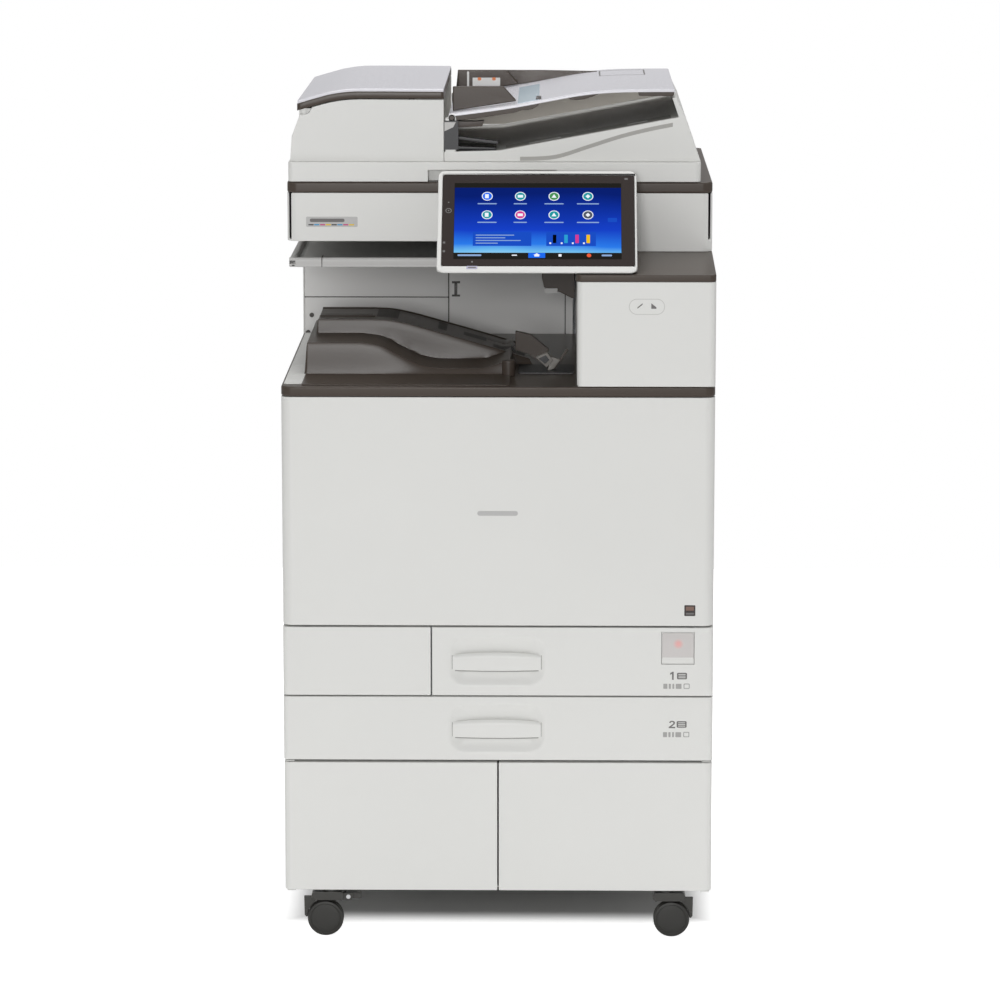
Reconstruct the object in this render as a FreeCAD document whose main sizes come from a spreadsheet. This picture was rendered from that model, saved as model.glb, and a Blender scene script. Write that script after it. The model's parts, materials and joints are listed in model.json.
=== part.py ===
import FreeCAD, Part
import math
import os
import re
import Sketcher

# Floor-standing A3 colour copier on a cabinet with casters.
# Millimetres. Origin on the floor under the middle of the machine, +Z up, front towards -Y.

SIZES = [
    # overall
    ("body_w", 587.0), ("body_d", 685.0), ("caster_height", 75.0), ("cabinet_height", 185.0),
    ("tray2_height", 90.5), ("tray1_height", 97.0), ("cover_height", 316.5), ("deck_height", 13.5),
    ("bay_height", 177.5), ("scanner_height", 67.0), ("top_frame_height", 15.0),
    ("feeder_base_height", 27.5), ("feeder_height", 100.5),
    # levels, counted up from the floor
    ("cabinet_top", "=caster_height + cabinet_height"), ("tray2_top", "=cabinet_top + tray2_height"),
    ("tray1_top", "=tray2_top + tray1_height"), ("deck_low", "=tray1_top + cover_height"),
    ("deck_top", "=deck_low + deck_height"), ("scan_low", "=deck_top + bay_height"),
    ("scan_mid", "=scan_low + scanner_height"), ("scan_top", "=scan_mid + top_frame_height"),
    ("feed_mid", "=scan_top + feeder_base_height"), ("feed_top", "=feed_mid + feeder_height"),
    # walls and clearances
    ("skin", 2.5), ("sheet_metal", 3.0), ("fascia", 24.5), ("front_thick", 22.0), ("seam", 2.0),
    ("seat", 0.4), ("pin_play", 0.05), ("corner", 14.0),
    # casters
    ("wheel_r", 25.0), ("wheel_w", 20.0), ("caster_x", "=body_w/2 - 61.5"), ("caster_y", "=body_d/2 - 50.5"), ("trail", 8.0),
    ("axle_r", 4.0), ("stem_r", 6.0), ("cheek", 3.0), ("caster_plate_w", 64.0), ("brake_w", 18.0),
    # cabinet
    ("door_thick", 18.0), ("door_pin_r", 3.0), ("door_pin_length", 9.0), ("door_rim", 4.0),
    # paper trays
    ("tray1_split", -90.7), ("bin_wall", 3.0), ("tray1_bin_right", "=body_w/2 - 81.5"), ("bin_length", 612.0),
    ("bin1_height", 72.0), ("bin2_height", 68.0), ("shelf", 3.0),
    ("handle_x", -1.7), ("handle_w", 127.0), ("handle_height", 72.0), ("handle_depth", 18.0),
    ("handle_round", 14.0), ("grip_height", 28.0), ("grip_thick", 8.0), ("grip_gap", 1.5),
    # power switch window
    ("switch_x", "=body_w/2 - 48.3"), ("switch_z", "=tray1_top - 29.5"), ("switch_w", 44.0), ("switch_depth", 16.0),
    ("switch_wall", 3.0), ("flap_thick", 2.5), ("flap_pin_r", 1.5), ("button_w", 16.0), ("button_proud", 5.0),
    # front cover
    ("cover_pin_r", 3.0), ("cover_pin_inset", 6.5), ("cover_bracket_x", "=body_w/2 - 31.5"), ("cover_skin", 4.0),
    ("lug_r", 6.3), ("lug_w", 8.0),
    # toner and print engine
    ("toner_r", 28.0), ("toner_pitch", 118.0), ("toner_z", "=tray1_top + 258.5"), ("toner_length", 420.0),
    ("belt_low", "=tray1_top + 142.5"), ("belt_high", "=tray1_top + 192.5"), ("belt_w", 420.0), ("drum_r", 15.0),
    # output deck
    ("bay_depth", 532.5), ("step1_y", "=-body_d/2 + 110.5"), ("step2_y", "=-body_d/2 + 212.5"), ("step_left", "=-body_w/2 + 31.5"),
    ("step_flat", -180.0), ("step1_top", "=deck_top + 46.5"), ("step2_top", "=deck_top + 62.5"), ("step1_low", "=deck_top + 10.5"),
    ("step2_low", "=deck_top + 25.5"), ("slope_end", -62.0), ("deck_end", 24.0), ("deck_wall", 3.0),
    # right column
    ("column_x", "=body_w/2 - 187"), ("column_top", "=scan_low - 35"), ("cap_front", "=scan_low - 25.3"), ("cap_rear", "=scan_low - 14"),
    ("exit_low", "=deck_top + 22.5"), ("exit_high", "=deck_top + 72.5"),
    # scanner
    ("scanner_setback", 170.0), ("glass_x", "=-body_w/2 + 57.5"), ("glass_w", 440.0), ("glass_y", "=-body_d/2 + 216.5"),
    ("glass_d", 305.0), ("glass_thick", 4.0), ("glass_rim", 4.0), ("slit_x", "=-body_w/2 + 23.5"), ("slit_w", 20.0),
    ("rail_z", "=scan_low + 41"), ("rail_w", 9.0), ("carriage_w", 40.0), ("carriage_height", 16.0),
    # document feeder
    ("feeder_right", "=body_w/2 - 16.5"), ("feeder_rear", "=body_d/2 - 42.5"), ("feed_x", -77.0), ("feed_rear", "=body_d/2 - 77.5"),
    ("feed_left", "=-body_w/2 + 4.5"), ("feed_shoulder", "=-body_w/2 + 18.5"), ("shoulder_z", "=feed_top - 35.5"), ("feed_flat", "=-body_w/2 + 100.5"),
    ("lid_thick", 11.5), ("lid_gap", 1.2), ("lid_sweep", 10.6), ("lid_hinge_x", "=-body_w/2 + 23"), ("lid_hinge_z", "=feed_top - 25.5"),
    ("feed_front_inset", 8.0), ("roller_r", 12.0), ("roller_x", -135.0), ("roller_z", "=feed_top - 49"),
    ("hinge_y", "=body_d/2 - 20.5"), ("hinge_z", "=scan_top + 14"), ("hinge_r", 5.0), ("hinge_x", 165.0), ("hinge_w", 30.0),
    ("pad_thick", 6.0), ("feeder_grip_w", 177.0), ("feeder_grip_x", -10.0), ("feeder_grip_depth", 17.0),
    ("doc_left", -66.0), ("doc_bend", 83.0), ("doc_right", "=body_w/2 - 52.5"), ("doc_low", "=feed_top - 35"),
    ("doc_mid", "=feed_top - 11"), ("doc_rear", "=body_d/2 - 129.5"), ("doc_front", "=-body_d/2 + 184.5"), ("doc_thick", 10.0),
    ("fence_w", 8.0), ("fence_length", 86.0), ("fence_y", 147.0), ("fence_mid_y", 27.0),
    ("exit_left", "=scan_top + 42"), ("exit_right", "=scan_top + 91"),
    # operation panel
    ("panel_x", -82.7), ("panel_w", 270.0), ("panel_length", 172.0), ("panel_thick", 22.0),
    ("panel_tilt", 46.8), ("panel_z", "=scan_low - 22.5"), ("panel_rim", 6.0), ("panel_lip", 11.0),
    ("panel_pivot_y", "=-body_d/2 + 94.5"), ("panel_pivot_z", "=scan_low + 20"), ("panel_arm_w", 44.0), ("panel_pin_r", 5.0),
    ("display_thick", 3.5), ("panel_round", 10.0),
    # mains inlet
    ("inlet_x", "=-body_w/2 + 76"), ("inlet_z", "=cabinet_top + 53"), ("inlet_w", 32.0), ("inlet_height", 26.0),
    # right side door and bypass tray
    ("door_rear", "=body_d/2 - 92.5"), ("side_door_thick", 22.0), ("post_w", 12.0), ("side_round", 9.0),
    ("side_pin_r", 4.0), ("bypass_low", "=tray1_top + 72.5"), ("bypass_high", "=tray1_top + 242.5"), ("bypass_y", 190.0),
    ("bypass_thick", 10.0),
]

doc = FreeCAD.newDocument("Photocopier")
spec = doc.addObject("Spreadsheet::Sheet", "Spec")
for row, (alias, number) in enumerate(SIZES, start=1):
    spec.set(f"A{row}", alias)
    spec.set(f"B{row}", str(number))
    spec.setAlias(f"B{row}", alias)
doc.recompute()

WORDS = re.compile(r"\b(" + "|".join(alias for alias, _ in SIZES) + r")\b")

# Levels and planes that several pieces share
LEFT = "(-body_w/2)"
RIGHT = "(body_w/2)"
FRONT = "(-body_d/2)"
REAR = "(body_d/2)"
FASCIA = "(-body_d/2 + fascia)"
FRONT_BACK = "(-body_d/2 + front_thick)"
CABINET_TOP = "cabinet_top"
TRAY2_TOP = "tray2_top"
TRAY1_TOP = "tray1_top"
DECK_LOW = "deck_low"
DECK_TOP = "deck_top"
SCAN_LOW = "scan_low"
SCAN_MID = "scan_mid"
SCAN_TOP = "scan_top"
FEED_LOW = f"({SCAN_TOP} + seat)"
FEED_MID = "feed_mid"
FEED_TOP = "feed_top"
BAY_BACK = "(-body_d/2 + bay_depth)"
SCAN_FRONT = "(-body_d/2 + scanner_setback)"
FEED_FRONT = f"({SCAN_FRONT} + feed_front_inset)"
INNER_W = "(body_w/2 - skin)"
SIDE_LOW = f"({TRAY1_TOP} + shelf/2 + seam)"
SIDE_HIGH = f"({DECK_LOW} - seam)"
SIDE_FRONT = f"({FASCIA} + post_w + seam)"

NODES = {}
counter = {"made": 0}


def bind(thing, prop, text):
    """Ties one property to the named values of the sheet."""
    thing.setExpression(prop, WORDS.sub(r"Spec.\1", str(text)))


def fresh(kind):
    counter["made"] += 1
    return f"{kind}{counter['made']}"


def keep(label, thing):
    """Registers a finished sub-part under its own name."""
    thing.Label = label
    NODES[label] = thing
    return thing


def rect(low_x, high_x, low_y, high_y):
    return [(low_x, low_y), (high_x, low_y), (high_x, high_y), (low_x, high_y)]


def new_body():
    return doc.addObject("PartDesign::Body", fresh("Body"))


def outline(body, role, at, points):
    """Closed sketch on an origin plane of its own body, every corner tied to named values."""
    sketch = body.newObject("Sketcher::SketchObject", fresh("Sketch"))
    plane = next(item for item in body.Origin.OriginFeatures if item.Role == role)
    sketch.AttachmentSupport = (plane, [""])
    sketch.MapMode = "FlatFace"
    bind(sketch, "AttachmentOffset.Base.z", at)
    count = len(points)
    ring = []
    for index in range(count):
        turn = 2 * math.pi * index / count
        ring.append(FreeCAD.Vector(100 * math.cos(turn), 100 * math.sin(turn), 0))
    for index in range(count):
        sketch.addGeometry(Part.LineSegment(ring[index], ring[(index + 1) % count]), False)
    for index in range(count):
        sketch.addConstraint(Sketcher.Constraint("Coincident", index, 2, (index + 1) % count, 1))
    for index, point in enumerate(points):
        for kind, place in zip(("DistanceX", "DistanceY"), point):
            number = sketch.addConstraint(Sketcher.Constraint(kind, -1, 1, index, 1, 1.0))
            name = f"{kind}_{index}"
            sketch.renameConstraint(number, name)
            bind(sketch, f"Constraints.{name}", place)
    return sketch


def span(role, low, high):
    """Start offset and length of a feature between two planes; the XZ plane looks to -Y."""
    start = f"-({high})" if role == "XZ_Plane" else low
    return start, f"({high}) - ({low})"


def pad(body, role, low, high, points):
    start, length = span(role, low, high)
    feature = body.newObject("PartDesign::Pad", fresh("Pad"))
    feature.Profile = outline(body, role, start, points)
    bind(feature, "Length", length)
    doc.recompute()
    return feature


def pocket(body, role, low, high, points):
    before = body.Shape.Volume
    start, length = span(role, low, high)
    feature = body.newObject("PartDesign::Pocket", fresh("Pocket"))
    feature.Profile = outline(body, role, start, points)
    bind(feature, "Length", length)
    feature.Reversed = True
    doc.recompute()
    if body.Shape.Volume >= before:
        raise RuntimeError(f"{feature.Name} cuts nothing")
    return feature


def along(edge, axis):
    """True for a straight edge parallel to the axis."""
    if edge.Curve.TypeId != "Part::GeomLine":
        return False
    return abs(abs(edge.Curve.Direction.dot(axis)) - 1) < 1e-4


X_AXIS = FreeCAD.Vector(1, 0, 0)
Y_AXIS = FreeCAD.Vector(0, 1, 0)
Z_AXIS = FreeCAD.Vector(0, 0, 1)


def soften(body, radius, axis, test):
    """Rounds the straight edges along an axis whose middle point passes the test."""
    base = body.Tip
    chosen = []
    bounds = base.Shape.BoundBox
    for number, edge in enumerate(base.Shape.Edges, start=1):
        if along(edge, axis) and test(edge.CenterOfMass, bounds):
            chosen.append(f"Edge{number}")
    if not chosen:
        raise RuntimeError(f"no edge to round on {body.Label}")
    feature = body.newObject("PartDesign::Fillet", fresh("Fillet"))
    feature.Base = (base, chosen)
    bind(feature, "Radius", radius)
    doc.recompute()
    return feature


def near(number, target):
    return abs(number - target) < 0.01


def box(x, y, z):
    thing = doc.addObject("Part::Box", fresh("Box"))
    for (low, high), side, place in zip((x, y, z), ("Length", "Width", "Height"), "xyz"):
        bind(thing, side, f"({high}) - ({low})")
        bind(thing, f"Placement.Base.{place}", low)
    return thing


TURNS = {"x": FreeCAD.Rotation(Y_AXIS, 90), "y": FreeCAD.Rotation(X_AXIS, -90), "z": FreeCAD.Rotation()}


def rod(axis, radius, centre, low, high):
    """Cylinder along an axis; centre gives its other two coordinates in x, y, z order."""
    thing = doc.addObject("Part::Cylinder", fresh("Rod"))
    thing.Placement = FreeCAD.Placement(FreeCAD.Vector(), TURNS[axis])
    bind(thing, "Radius", radius)
    bind(thing, "Height", f"({high}) - ({low})")
    places = dict(zip([name for name in "xyz" if name != axis], centre))
    places[axis] = low
    for name, place in places.items():
        bind(thing, f"Placement.Base.{name}", place)
    return thing


def fuse(*things):
    if len(things) == 1:
        return things[0]
    joined = doc.addObject("Part::MultiFuse", fresh("Fuse"))
    joined.Shapes = list(things)
    return joined


def cut(base, *tools):
    carved = doc.addObject("Part::Cut", fresh("Cut"))
    carved.Base = base
    carved.Tool = fuse(*tools)
    return carved


# ---------------------------------------------------------------- casters

def caster_plates():
    """Four mounting plates under the cabinet, each with the swivel pin that its fork turns on."""
    pieces = []
    for side in ("-", ""):
        for end in ("-", ""):
            x = f"({side}caster_x)"
            y = f"({end}caster_y)"
            half = "caster_plate_w/2"
            plate = box((f"{x} - {half}", f"{x} + {half}"), (f"{y} - {half}", f"{y} + {half}"),
                        ("caster_height - sheet_metal", "caster_height"))
            stem = rod("z", "stem_r", (x, y), "caster_height - 20", "caster_height - sheet_metal")
            pieces.append(fuse(plate, stem))
    keep("caster_plates", fuse(*pieces))


def caster(name, side, end, braked):
    """Twin-cheek fork on its swivel pin, a wheel on its axle and, if braked, a foot lever."""
    x = f"({side}caster_x)"
    y = f"({end}caster_y)"
    outward = "-" if side == "-" else "+"
    wheel_x = f"({x} {outward} trail)"
    crown_x = (f"{wheel_x} - 18", f"{x} + 18") if side == "-" else (f"{x} - 18", f"{wheel_x} + 18")
    axle = (wheel_x, "wheel_r")
    crown = box(crown_x, (f"{y} - wheel_w/2 - seam/2 - cheek", f"{y} + wheel_w/2 + seam/2 + cheek"),
                ("wheel_r*2 + seam", "wheel_r*2 + seam + 12"))
    cheeks = []
    for hand in ("-", ""):
        near_y = f"{y} + ({hand}1)*(wheel_w/2 + seam/2 + cheek/2)"
        cheeks.append(box((f"{wheel_x} - 14", f"{wheel_x} + 14"), (f"{near_y} - cheek/2", f"{near_y} + cheek/2"),
                          ("wheel_r - 7", "wheel_r*2 + seam + 1")))
    pin = rod("y", "axle_r", axle, f"{y} - wheel_w/2 - seam/2 - cheek", f"{y} + wheel_w/2 + seam/2 + cheek")
    boss = rod("z", "stem_r*2", (x, y), "wheel_r*2 + seam", "caster_height - sheet_metal - seat")
    socket = rod("z", "stem_r + pin_play", (x, y), "caster_height - 20 - seat", "caster_height")
    parts = [crown, boss, pin] + cheeks
    if braked:
        lever_x = f"({x} + 24)"
        parts.append(rod("y", "door_pin_r", (lever_x, "caster_height - 18"), f"{y} - brake_w/2 - 4",
                         f"{y} + brake_w/2 + 4"))
        for hand in ("-", ""):
            ear = f"{y} + ({hand}1)*(brake_w/2 + 2.5)"
            parts.append(box((f"{x} + 14", f"{lever_x} + 5"), (f"{ear} - 1.5", f"{ear} + 1.5"),
                             ("caster_height - 22", "caster_height - 13")))
        blade = box((f"{lever_x} - 4", f"{lever_x} + 18"), (f"{y} - brake_w/2 + 0.5", f"{y} + brake_w/2 - 0.5"),
                    ("caster_height - 22", "caster_height - 14"))
        hole = rod("y", "door_pin_r + pin_play", (lever_x, "caster_height - 18"), f"{y} - brake_w", f"{y} + brake_w")
        keep(f"brake_lever_{name}", cut(blade, hole))
    keep(f"caster_fork_{name}", cut(fuse(*parts), socket))
    tyre = rod("y", "wheel_r", axle, f"{y} - wheel_w/2", f"{y} + wheel_w/2")
    bore = rod("y", "axle_r + pin_play", axle, f"{y} - wheel_w", f"{y} + wheel_w")
    keep(f"caster_wheel_{name}", cut(tyre, bore))


# ---------------------------------------------------------------- cabinet

DOOR_PIN_X = "(body_w/2 - door_thick/2)"
DOOR_PIN_Y = "(-body_d/2 + door_thick/2)"
DOOR_LOW = "(caster_height + seam)"
DOOR_HIGH = f"({CABINET_TOP} - seam - 0.5)"


def cabinet_shell():
    """Steel cabinet open at the front, with a hinge tab and pin at each door's two ends."""
    body = new_body()
    top = f"({CABINET_TOP} - 0.5)"
    pad(body, "XY_Plane", "caster_height", top, rect(LEFT, RIGHT, FASCIA, REAR))
    pocket(body, "XZ_Plane", FASCIA, "body_d/2 - sheet_metal",
           rect("-body_w/2 + sheet_metal", "body_w/2 - sheet_metal", "caster_height + sheet_metal",
                f"{top} - sheet_metal"))
    soften(body, "corner/2", Z_AXIS, lambda spot, limit: near(spot.y, limit.YMax) and abs(spot.x) > limit.XMax - 1)
    pieces = [body]
    for side in ("-", ""):
        x = f"(({side}1)*{DOOR_PIN_X})"
        for low, high, pin_low, pin_high in (
                ("caster_height", "caster_height + 1.5", "caster_height + 1", f"{DOOR_LOW} + door_pin_length"),
                (f"{top} - 1.5", top, f"{DOOR_HIGH} - door_pin_length", f"{top} - 1")):
            pieces.append(box((f"{x} - 6", f"{x} + 6"), (f"{DOOR_PIN_Y} - 6", f"{FASCIA} + 1"), (low, high)))
            pieces.append(rod("z", "door_pin_r", (x, DOOR_PIN_Y), pin_low, pin_high))
    keep("cabinet_shell", fuse(*pieces))


def cabinet_door(name, side):
    """Door with a half-round hinge edge, hollow at the back inside a rim."""
    body = new_body()
    outer = "(body_w/2 - 0.3)"
    inner = "(seam/2)"
    points = rect(inner, outer, FRONT, f"{FRONT} + door_thick")
    back = rect(f"{inner} + 12", f"{outer} - 30", f"{DOOR_LOW} + 12", f"{DOOR_HIGH} - 12")
    if side == "-":
        points = rect(f"-{outer}", f"-{inner}", FRONT, f"{FRONT} + door_thick")
        back = rect(f"-{outer} + 30", f"-{inner} - 12", f"{DOOR_LOW} + 12", f"{DOOR_HIGH} - 12")
    pad(body, "XY_Plane", DOOR_LOW, DOOR_HIGH, points)
    hinge_edge = (lambda spot, limit: near(spot.x, limit.XMin)) if side == "-" else (
        lambda spot, limit: near(spot.x, limit.XMax))
    soften(body, "door_thick/2 - 0.1", Z_AXIS, hinge_edge)
    pocket(body, "XZ_Plane", f"{FRONT} + door_rim", f"{FRONT} + door_thick", back)
    x = f"(({side}1)*{DOOR_PIN_X})"
    low_bore = rod("z", "door_pin_r + pin_play", (x, DOOR_PIN_Y), DOOR_LOW, f"{DOOR_LOW} + door_pin_length + 1")
    high_bore = rod("z", "door_pin_r + pin_play", (x, DOOR_PIN_Y), f"{DOOR_HIGH} - door_pin_length - 1", DOOR_HIGH)
    keep(f"cabinet_door_{name}", cut(body, low_bore, high_bore))


# ---------------------------------------------------------------- main body

BIN1_LEFT = "(tray1_split + 6)"


def main_frame():
    """Steel frame of separate plates: floor, walls, roof, two shelves, tray 1 dividers, brackets and rear tower."""
    metal = "sheet_metal"
    inner = INNER_W
    inside = (f"-{inner} + {metal}", f"{inner} - {metal}")
    left_plate = (f"-{inner}", f"-{inner} + {metal}")
    right_plate = (f"{inner} - {metal}", inner)
    back = "(body_d/2 - skin)"
    depth = (FASCIA, f"{back} - {metal}")
    rear_plate = (f"{back} - {metal}", back)
    tower_depth = (f"{BAY_BACK} + skin", f"{back} - {metal}")
    above_shelf1 = f"({TRAY1_TOP} + shelf/2)"
    under_roof = f"({DECK_LOW} - {metal})"
    between_shelves = (f"{TRAY2_TOP} + shelf/2", f"{TRAY1_TOP} - shelf/2")
    door_wall = (f"{TRAY1_TOP} + 1", under_roof)
    roof = (under_roof, DECK_LOW)
    door_x = "(body_w/2 - side_door_thick - seam)"
    door_y = "(door_rear + seam)"
    bay_side = "(column_x - 4)"
    guide_x = "(tray1_bin_right + 1)"
    hole = ("inlet_x - inlet_w/2 - 0.3", "inlet_x + inlet_w/2 + 0.3")
    rear_wall = cut(box((f"-{inner}", inner), rear_plate, (f"{CABINET_TOP} + {metal}", under_roof)),
                    box(hole, (f"{back} - 5", f"{back} + 1"),
                        ("inlet_z - inlet_height/2 - 0.3", "inlet_z + inlet_height/2 + 0.3")))
    plates = [
        rear_wall,
        box((f"-{inner}", inner), (FASCIA, back), (CABINET_TOP, f"{CABINET_TOP} + {metal}")),
        box(inside, depth, (f"{TRAY2_TOP} - shelf/2", f"{TRAY2_TOP} + shelf/2")),
        box(inside, depth, (f"{TRAY1_TOP} - shelf/2", above_shelf1)),
        box((f"-{inner}", door_x), (FASCIA, back), roof),
        box((door_x, inner), (FASCIA, f"{FASCIA} + post_w"), roof),
        box((door_x, inner), (door_y, back), roof),
        box(left_plate, depth, (f"{CABINET_TOP} + {metal}", under_roof)),
        box(right_plate, depth, (f"{CABINET_TOP} + {metal}", f"{TRAY1_TOP} + 1")),
        box(right_plate, (door_y, f"{back} - {metal}"), door_wall),
        box(right_plate, (FASCIA, f"{FASCIA} + post_w"), door_wall),
        box(("tray1_split - 2", "tray1_split + 1"), depth, between_shelves),
        box((guide_x, f"{guide_x} + {metal}"), depth, between_shelves),
        box((f"{guide_x} + {metal}", f"{inner} - {metal}"), (FASCIA, f"{FASCIA} + {metal}"), between_shelves),
        box((f"-{inner}", inner), rear_plate, (DECK_LOW, "column_top")),
        box((f"-{inner}", bay_side), rear_plate, ("column_top", SCAN_LOW)),
        box(left_plate, tower_depth, (DECK_LOW, f"{SCAN_LOW} - {metal}")),
        box(right_plate, tower_depth, (DECK_LOW, "column_top")),
        box((f"-{inner}", bay_side), tower_depth, (f"{SCAN_LOW} - {metal}", SCAN_LOW)),
    ]
    pin_z = f"({TRAY1_TOP} + 1 + cover_pin_inset)"
    pin_y = f"({FRONT} + cover_pin_inset)"
    for side in ("-", ""):
        middle = f"({side}cover_bracket_x)"
        arm = box((f"{middle} - 2", f"{middle} + 2"), (f"{pin_y} - 3", f"{FASCIA} + post_w"),
                  (f"{pin_z} - 3", f"{pin_z} + 3"))
        pin = rod("x", "cover_pin_r", (pin_y, pin_z), f"{middle} - 2 - lug_w", f"{middle} + 2 + lug_w")
        foot = box((f"{middle} - 2", f"{middle} + 2"), (FASCIA, f"{FASCIA} + post_w"), (above_shelf1, f"{pin_z} + 3"))
        plates.append(fuse(arm, foot, pin))
    hinge_x = f"({inner} - side_door_thick/2 + 3)"
    hinge_z = f"({SIDE_LOW} + 11)"
    for block_y, pin_span in (((FASCIA, f"{FASCIA} + post_w"), (f"{FASCIA} + 11", f"{FASCIA} + 30")),
                              ((door_y, f"{door_y} + post_w"), ("door_rear - 16", "door_rear + 3"))):
        block = box((f"{hinge_x} - 8", f"{inner} - {metal}"), block_y, (f"{SIDE_LOW} + 3", f"{SIDE_LOW} + 19"))
        plates.append(fuse(block, rod("y", "side_pin_r", (hinge_x, hinge_z), *pin_span)))
    frame = doc.addObject("Part::Compound", fresh("Frame"))
    frame.Links = plates
    keep("main_frame", frame)


def side_cover(name, side):
    """Thin outer side cover; the right one stops around the duplex door."""
    body = new_body()
    if side == "-":
        points = [(FASCIA, CABINET_TOP), (REAR, CABINET_TOP), (REAR, SCAN_LOW), (BAY_BACK, SCAN_LOW),
                  (BAY_BACK, DECK_LOW), (FASCIA, DECK_LOW)]
        pad(body, "YZ_Plane", LEFT, f"-{INNER_W}", points)
    else:
        points = [(FASCIA, CABINET_TOP), (REAR, CABINET_TOP), (REAR, "column_top"),
                  ("door_rear + seam", "column_top"), ("door_rear + seam", f"{SIDE_LOW} - seam"),
                  (FASCIA, f"{SIDE_LOW} - seam")]
        pad(body, "YZ_Plane", INNER_W, RIGHT, points)
    keep(name, body)


def rear_cover():
    """Rear cover with a row of cooling slots and the opening for the mains inlet."""
    body = new_body()
    pad(body, "XZ_Plane", "body_d/2 - skin", REAR,
        [(f"-{INNER_W}", CABINET_TOP), (INNER_W, CABINET_TOP), (INNER_W, "column_top"), ("column_x - 4", "column_top"),
         ("column_x - 4", SCAN_LOW), (f"-{INNER_W}", SCAN_LOW)])
    pocket(body, "XZ_Plane", "body_d/2 - skin", REAR,
           rect("inlet_x - inlet_w/2", "inlet_x + inlet_w/2", "inlet_z - inlet_height/2", "inlet_z + inlet_height/2"))
    slot = pocket(body, "XZ_Plane", "body_d/2 - skin", REAR, rect("100", "200", "620", "625"))
    rows = body.newObject("PartDesign::LinearPattern", fresh("Slots"))
    rows.Originals = [slot]
    axis = next(item for item in body.Origin.OriginFeatures if item.Role == "Z_Axis")
    rows.Direction = (axis, [""])
    rows.Length = 108
    rows.Occurrences = 10
    body.Tip = rows
    keep("rear_cover", body)


def power_inlet():
    """Mains inlet socket with its flange and three contact pins."""
    block = box(("inlet_x - inlet_w/2 + 0.1", "inlet_x + inlet_w/2 - 0.1"), ("body_d/2 - 28", REAR),
                ("inlet_z - inlet_height/2 + 0.1", "inlet_z + inlet_height/2 - 0.1"))
    mouth = box(("inlet_x - 12", "inlet_x + 12"), ("body_d/2 - 20", "body_d/2 + 1"), ("inlet_z - 8", "inlet_z + 8"))
    pins = [box((f"inlet_x + {place} - 1", f"inlet_x + {place} + 1"), ("body_d/2 - 21", "body_d/2 - 6"),
                (f"inlet_z + {low}", f"inlet_z + {low} + 4")) for place, low in ((-7, -4), (0, 2), (7, -4))]
    keep("power_inlet", fuse(cut(block, mouth), *pins))


def left_front_panel():
    """Fixed front panel beside tray 1."""
    body = new_body()
    pad(body, "XY_Plane", f"{TRAY2_TOP} + seam/2", f"{TRAY1_TOP} - seam/2",
        rect(LEFT, "tray1_split - seam/2", FRONT, FASCIA))
    soften(body, "corner/2", Z_AXIS, lambda spot, limit: near(spot.x, limit.XMin) and near(spot.y, limit.YMin))
    pocket(body, "XZ_Plane", f"{FRONT} + cover_skin", FASCIA,
           rect("-body_w/2 + 12", "tray1_split - 12", f"{TRAY2_TOP} + 10", f"{TRAY1_TOP} - 10"))
    keep("left_front_panel", body)


def output_deck():
    """Output tray moulding: rim plate, two terraces that fall towards the exit, hollow underneath."""
    body = new_body()
    pad(body, "XY_Plane", DECK_LOW, DECK_TOP, rect(LEFT, RIGHT, FRONT, BAY_BACK))
    soften(body, "corner", Z_AXIS, lambda spot, limit: near(spot.y, limit.YMin))
    pad(body, "XZ_Plane", "step1_y", "step2_y",
        [("step_left", f"{DECK_TOP} - 1"), ("deck_end", f"{DECK_TOP} - 1"), ("deck_end", "step1_low + 8"),
         ("slope_end + 42", "step1_low - 1"), ("slope_end", "step1_low"), ("step_flat + 15", "step1_top - 3"),
         ("step_flat", "step1_top"), ("step_left", "step1_top")])
    pad(body, "XZ_Plane", "step2_y", BAY_BACK,
        [("step_left + 5", f"{DECK_TOP} - 1"), ("deck_end + 40", f"{DECK_TOP} - 1"),
         ("deck_end + 40", "step2_low - 14"), ("deck_end - 24", "step2_low"),
         ("step_flat + 80", "step2_top - 10"), ("step_flat + 12", "step2_top"), ("step_left + 5", "step2_top")])
    pocket(body, "XZ_Plane", "step2_y + deck_wall", f"{BAY_BACK} - deck_wall",
           [("step_left + 5 + deck_wall", f"{DECK_LOW}"), ("deck_end + 40 - deck_wall", f"{DECK_LOW}"),
            ("deck_end + 40 - deck_wall", "step2_low - 14 - deck_wall*1.2"),
            ("deck_end - 24", "step2_low - deck_wall*1.2"),
            ("step_flat + 80", "step2_top - 10 - deck_wall*1.2"),
            ("step_flat + 12", "step2_top - deck_wall"), ("step_left + 5 + deck_wall", "step2_top - deck_wall")])
    keep("output_deck", body)


def bay_back_wall():
    """Grey rear wall of the paper bay with its latch slot."""
    body = new_body()
    pad(body, "XZ_Plane", BAY_BACK, f"{BAY_BACK} + skin", rect(f"-{INNER_W}", "column_x - 4", DECK_LOW, SCAN_LOW))
    pocket(body, "XZ_Plane", BAY_BACK, f"{BAY_BACK} + skin", rect("-72", "-64", "deck_top + 54.5", "deck_top + 74.5"))
    keep("bay_back_wall", body)


def inner_tray():
    """Shallow tray between the output bay and the scanner."""
    body = new_body()
    pad(body, "XY_Plane", "scan_low - 36", "scan_low - 23", rect(f"-{INNER_W}", "column_x - 2 - seat", SCAN_FRONT, BAY_BACK))
    pocket(body, "XY_Plane", "scan_low - 32", "scan_low - 23",
           rect(f"-{INNER_W} + 10", "column_x - 12", f"{SCAN_FRONT} + 8", f"{BAY_BACK} - 6"))
    keep("inner_tray", body)


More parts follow.
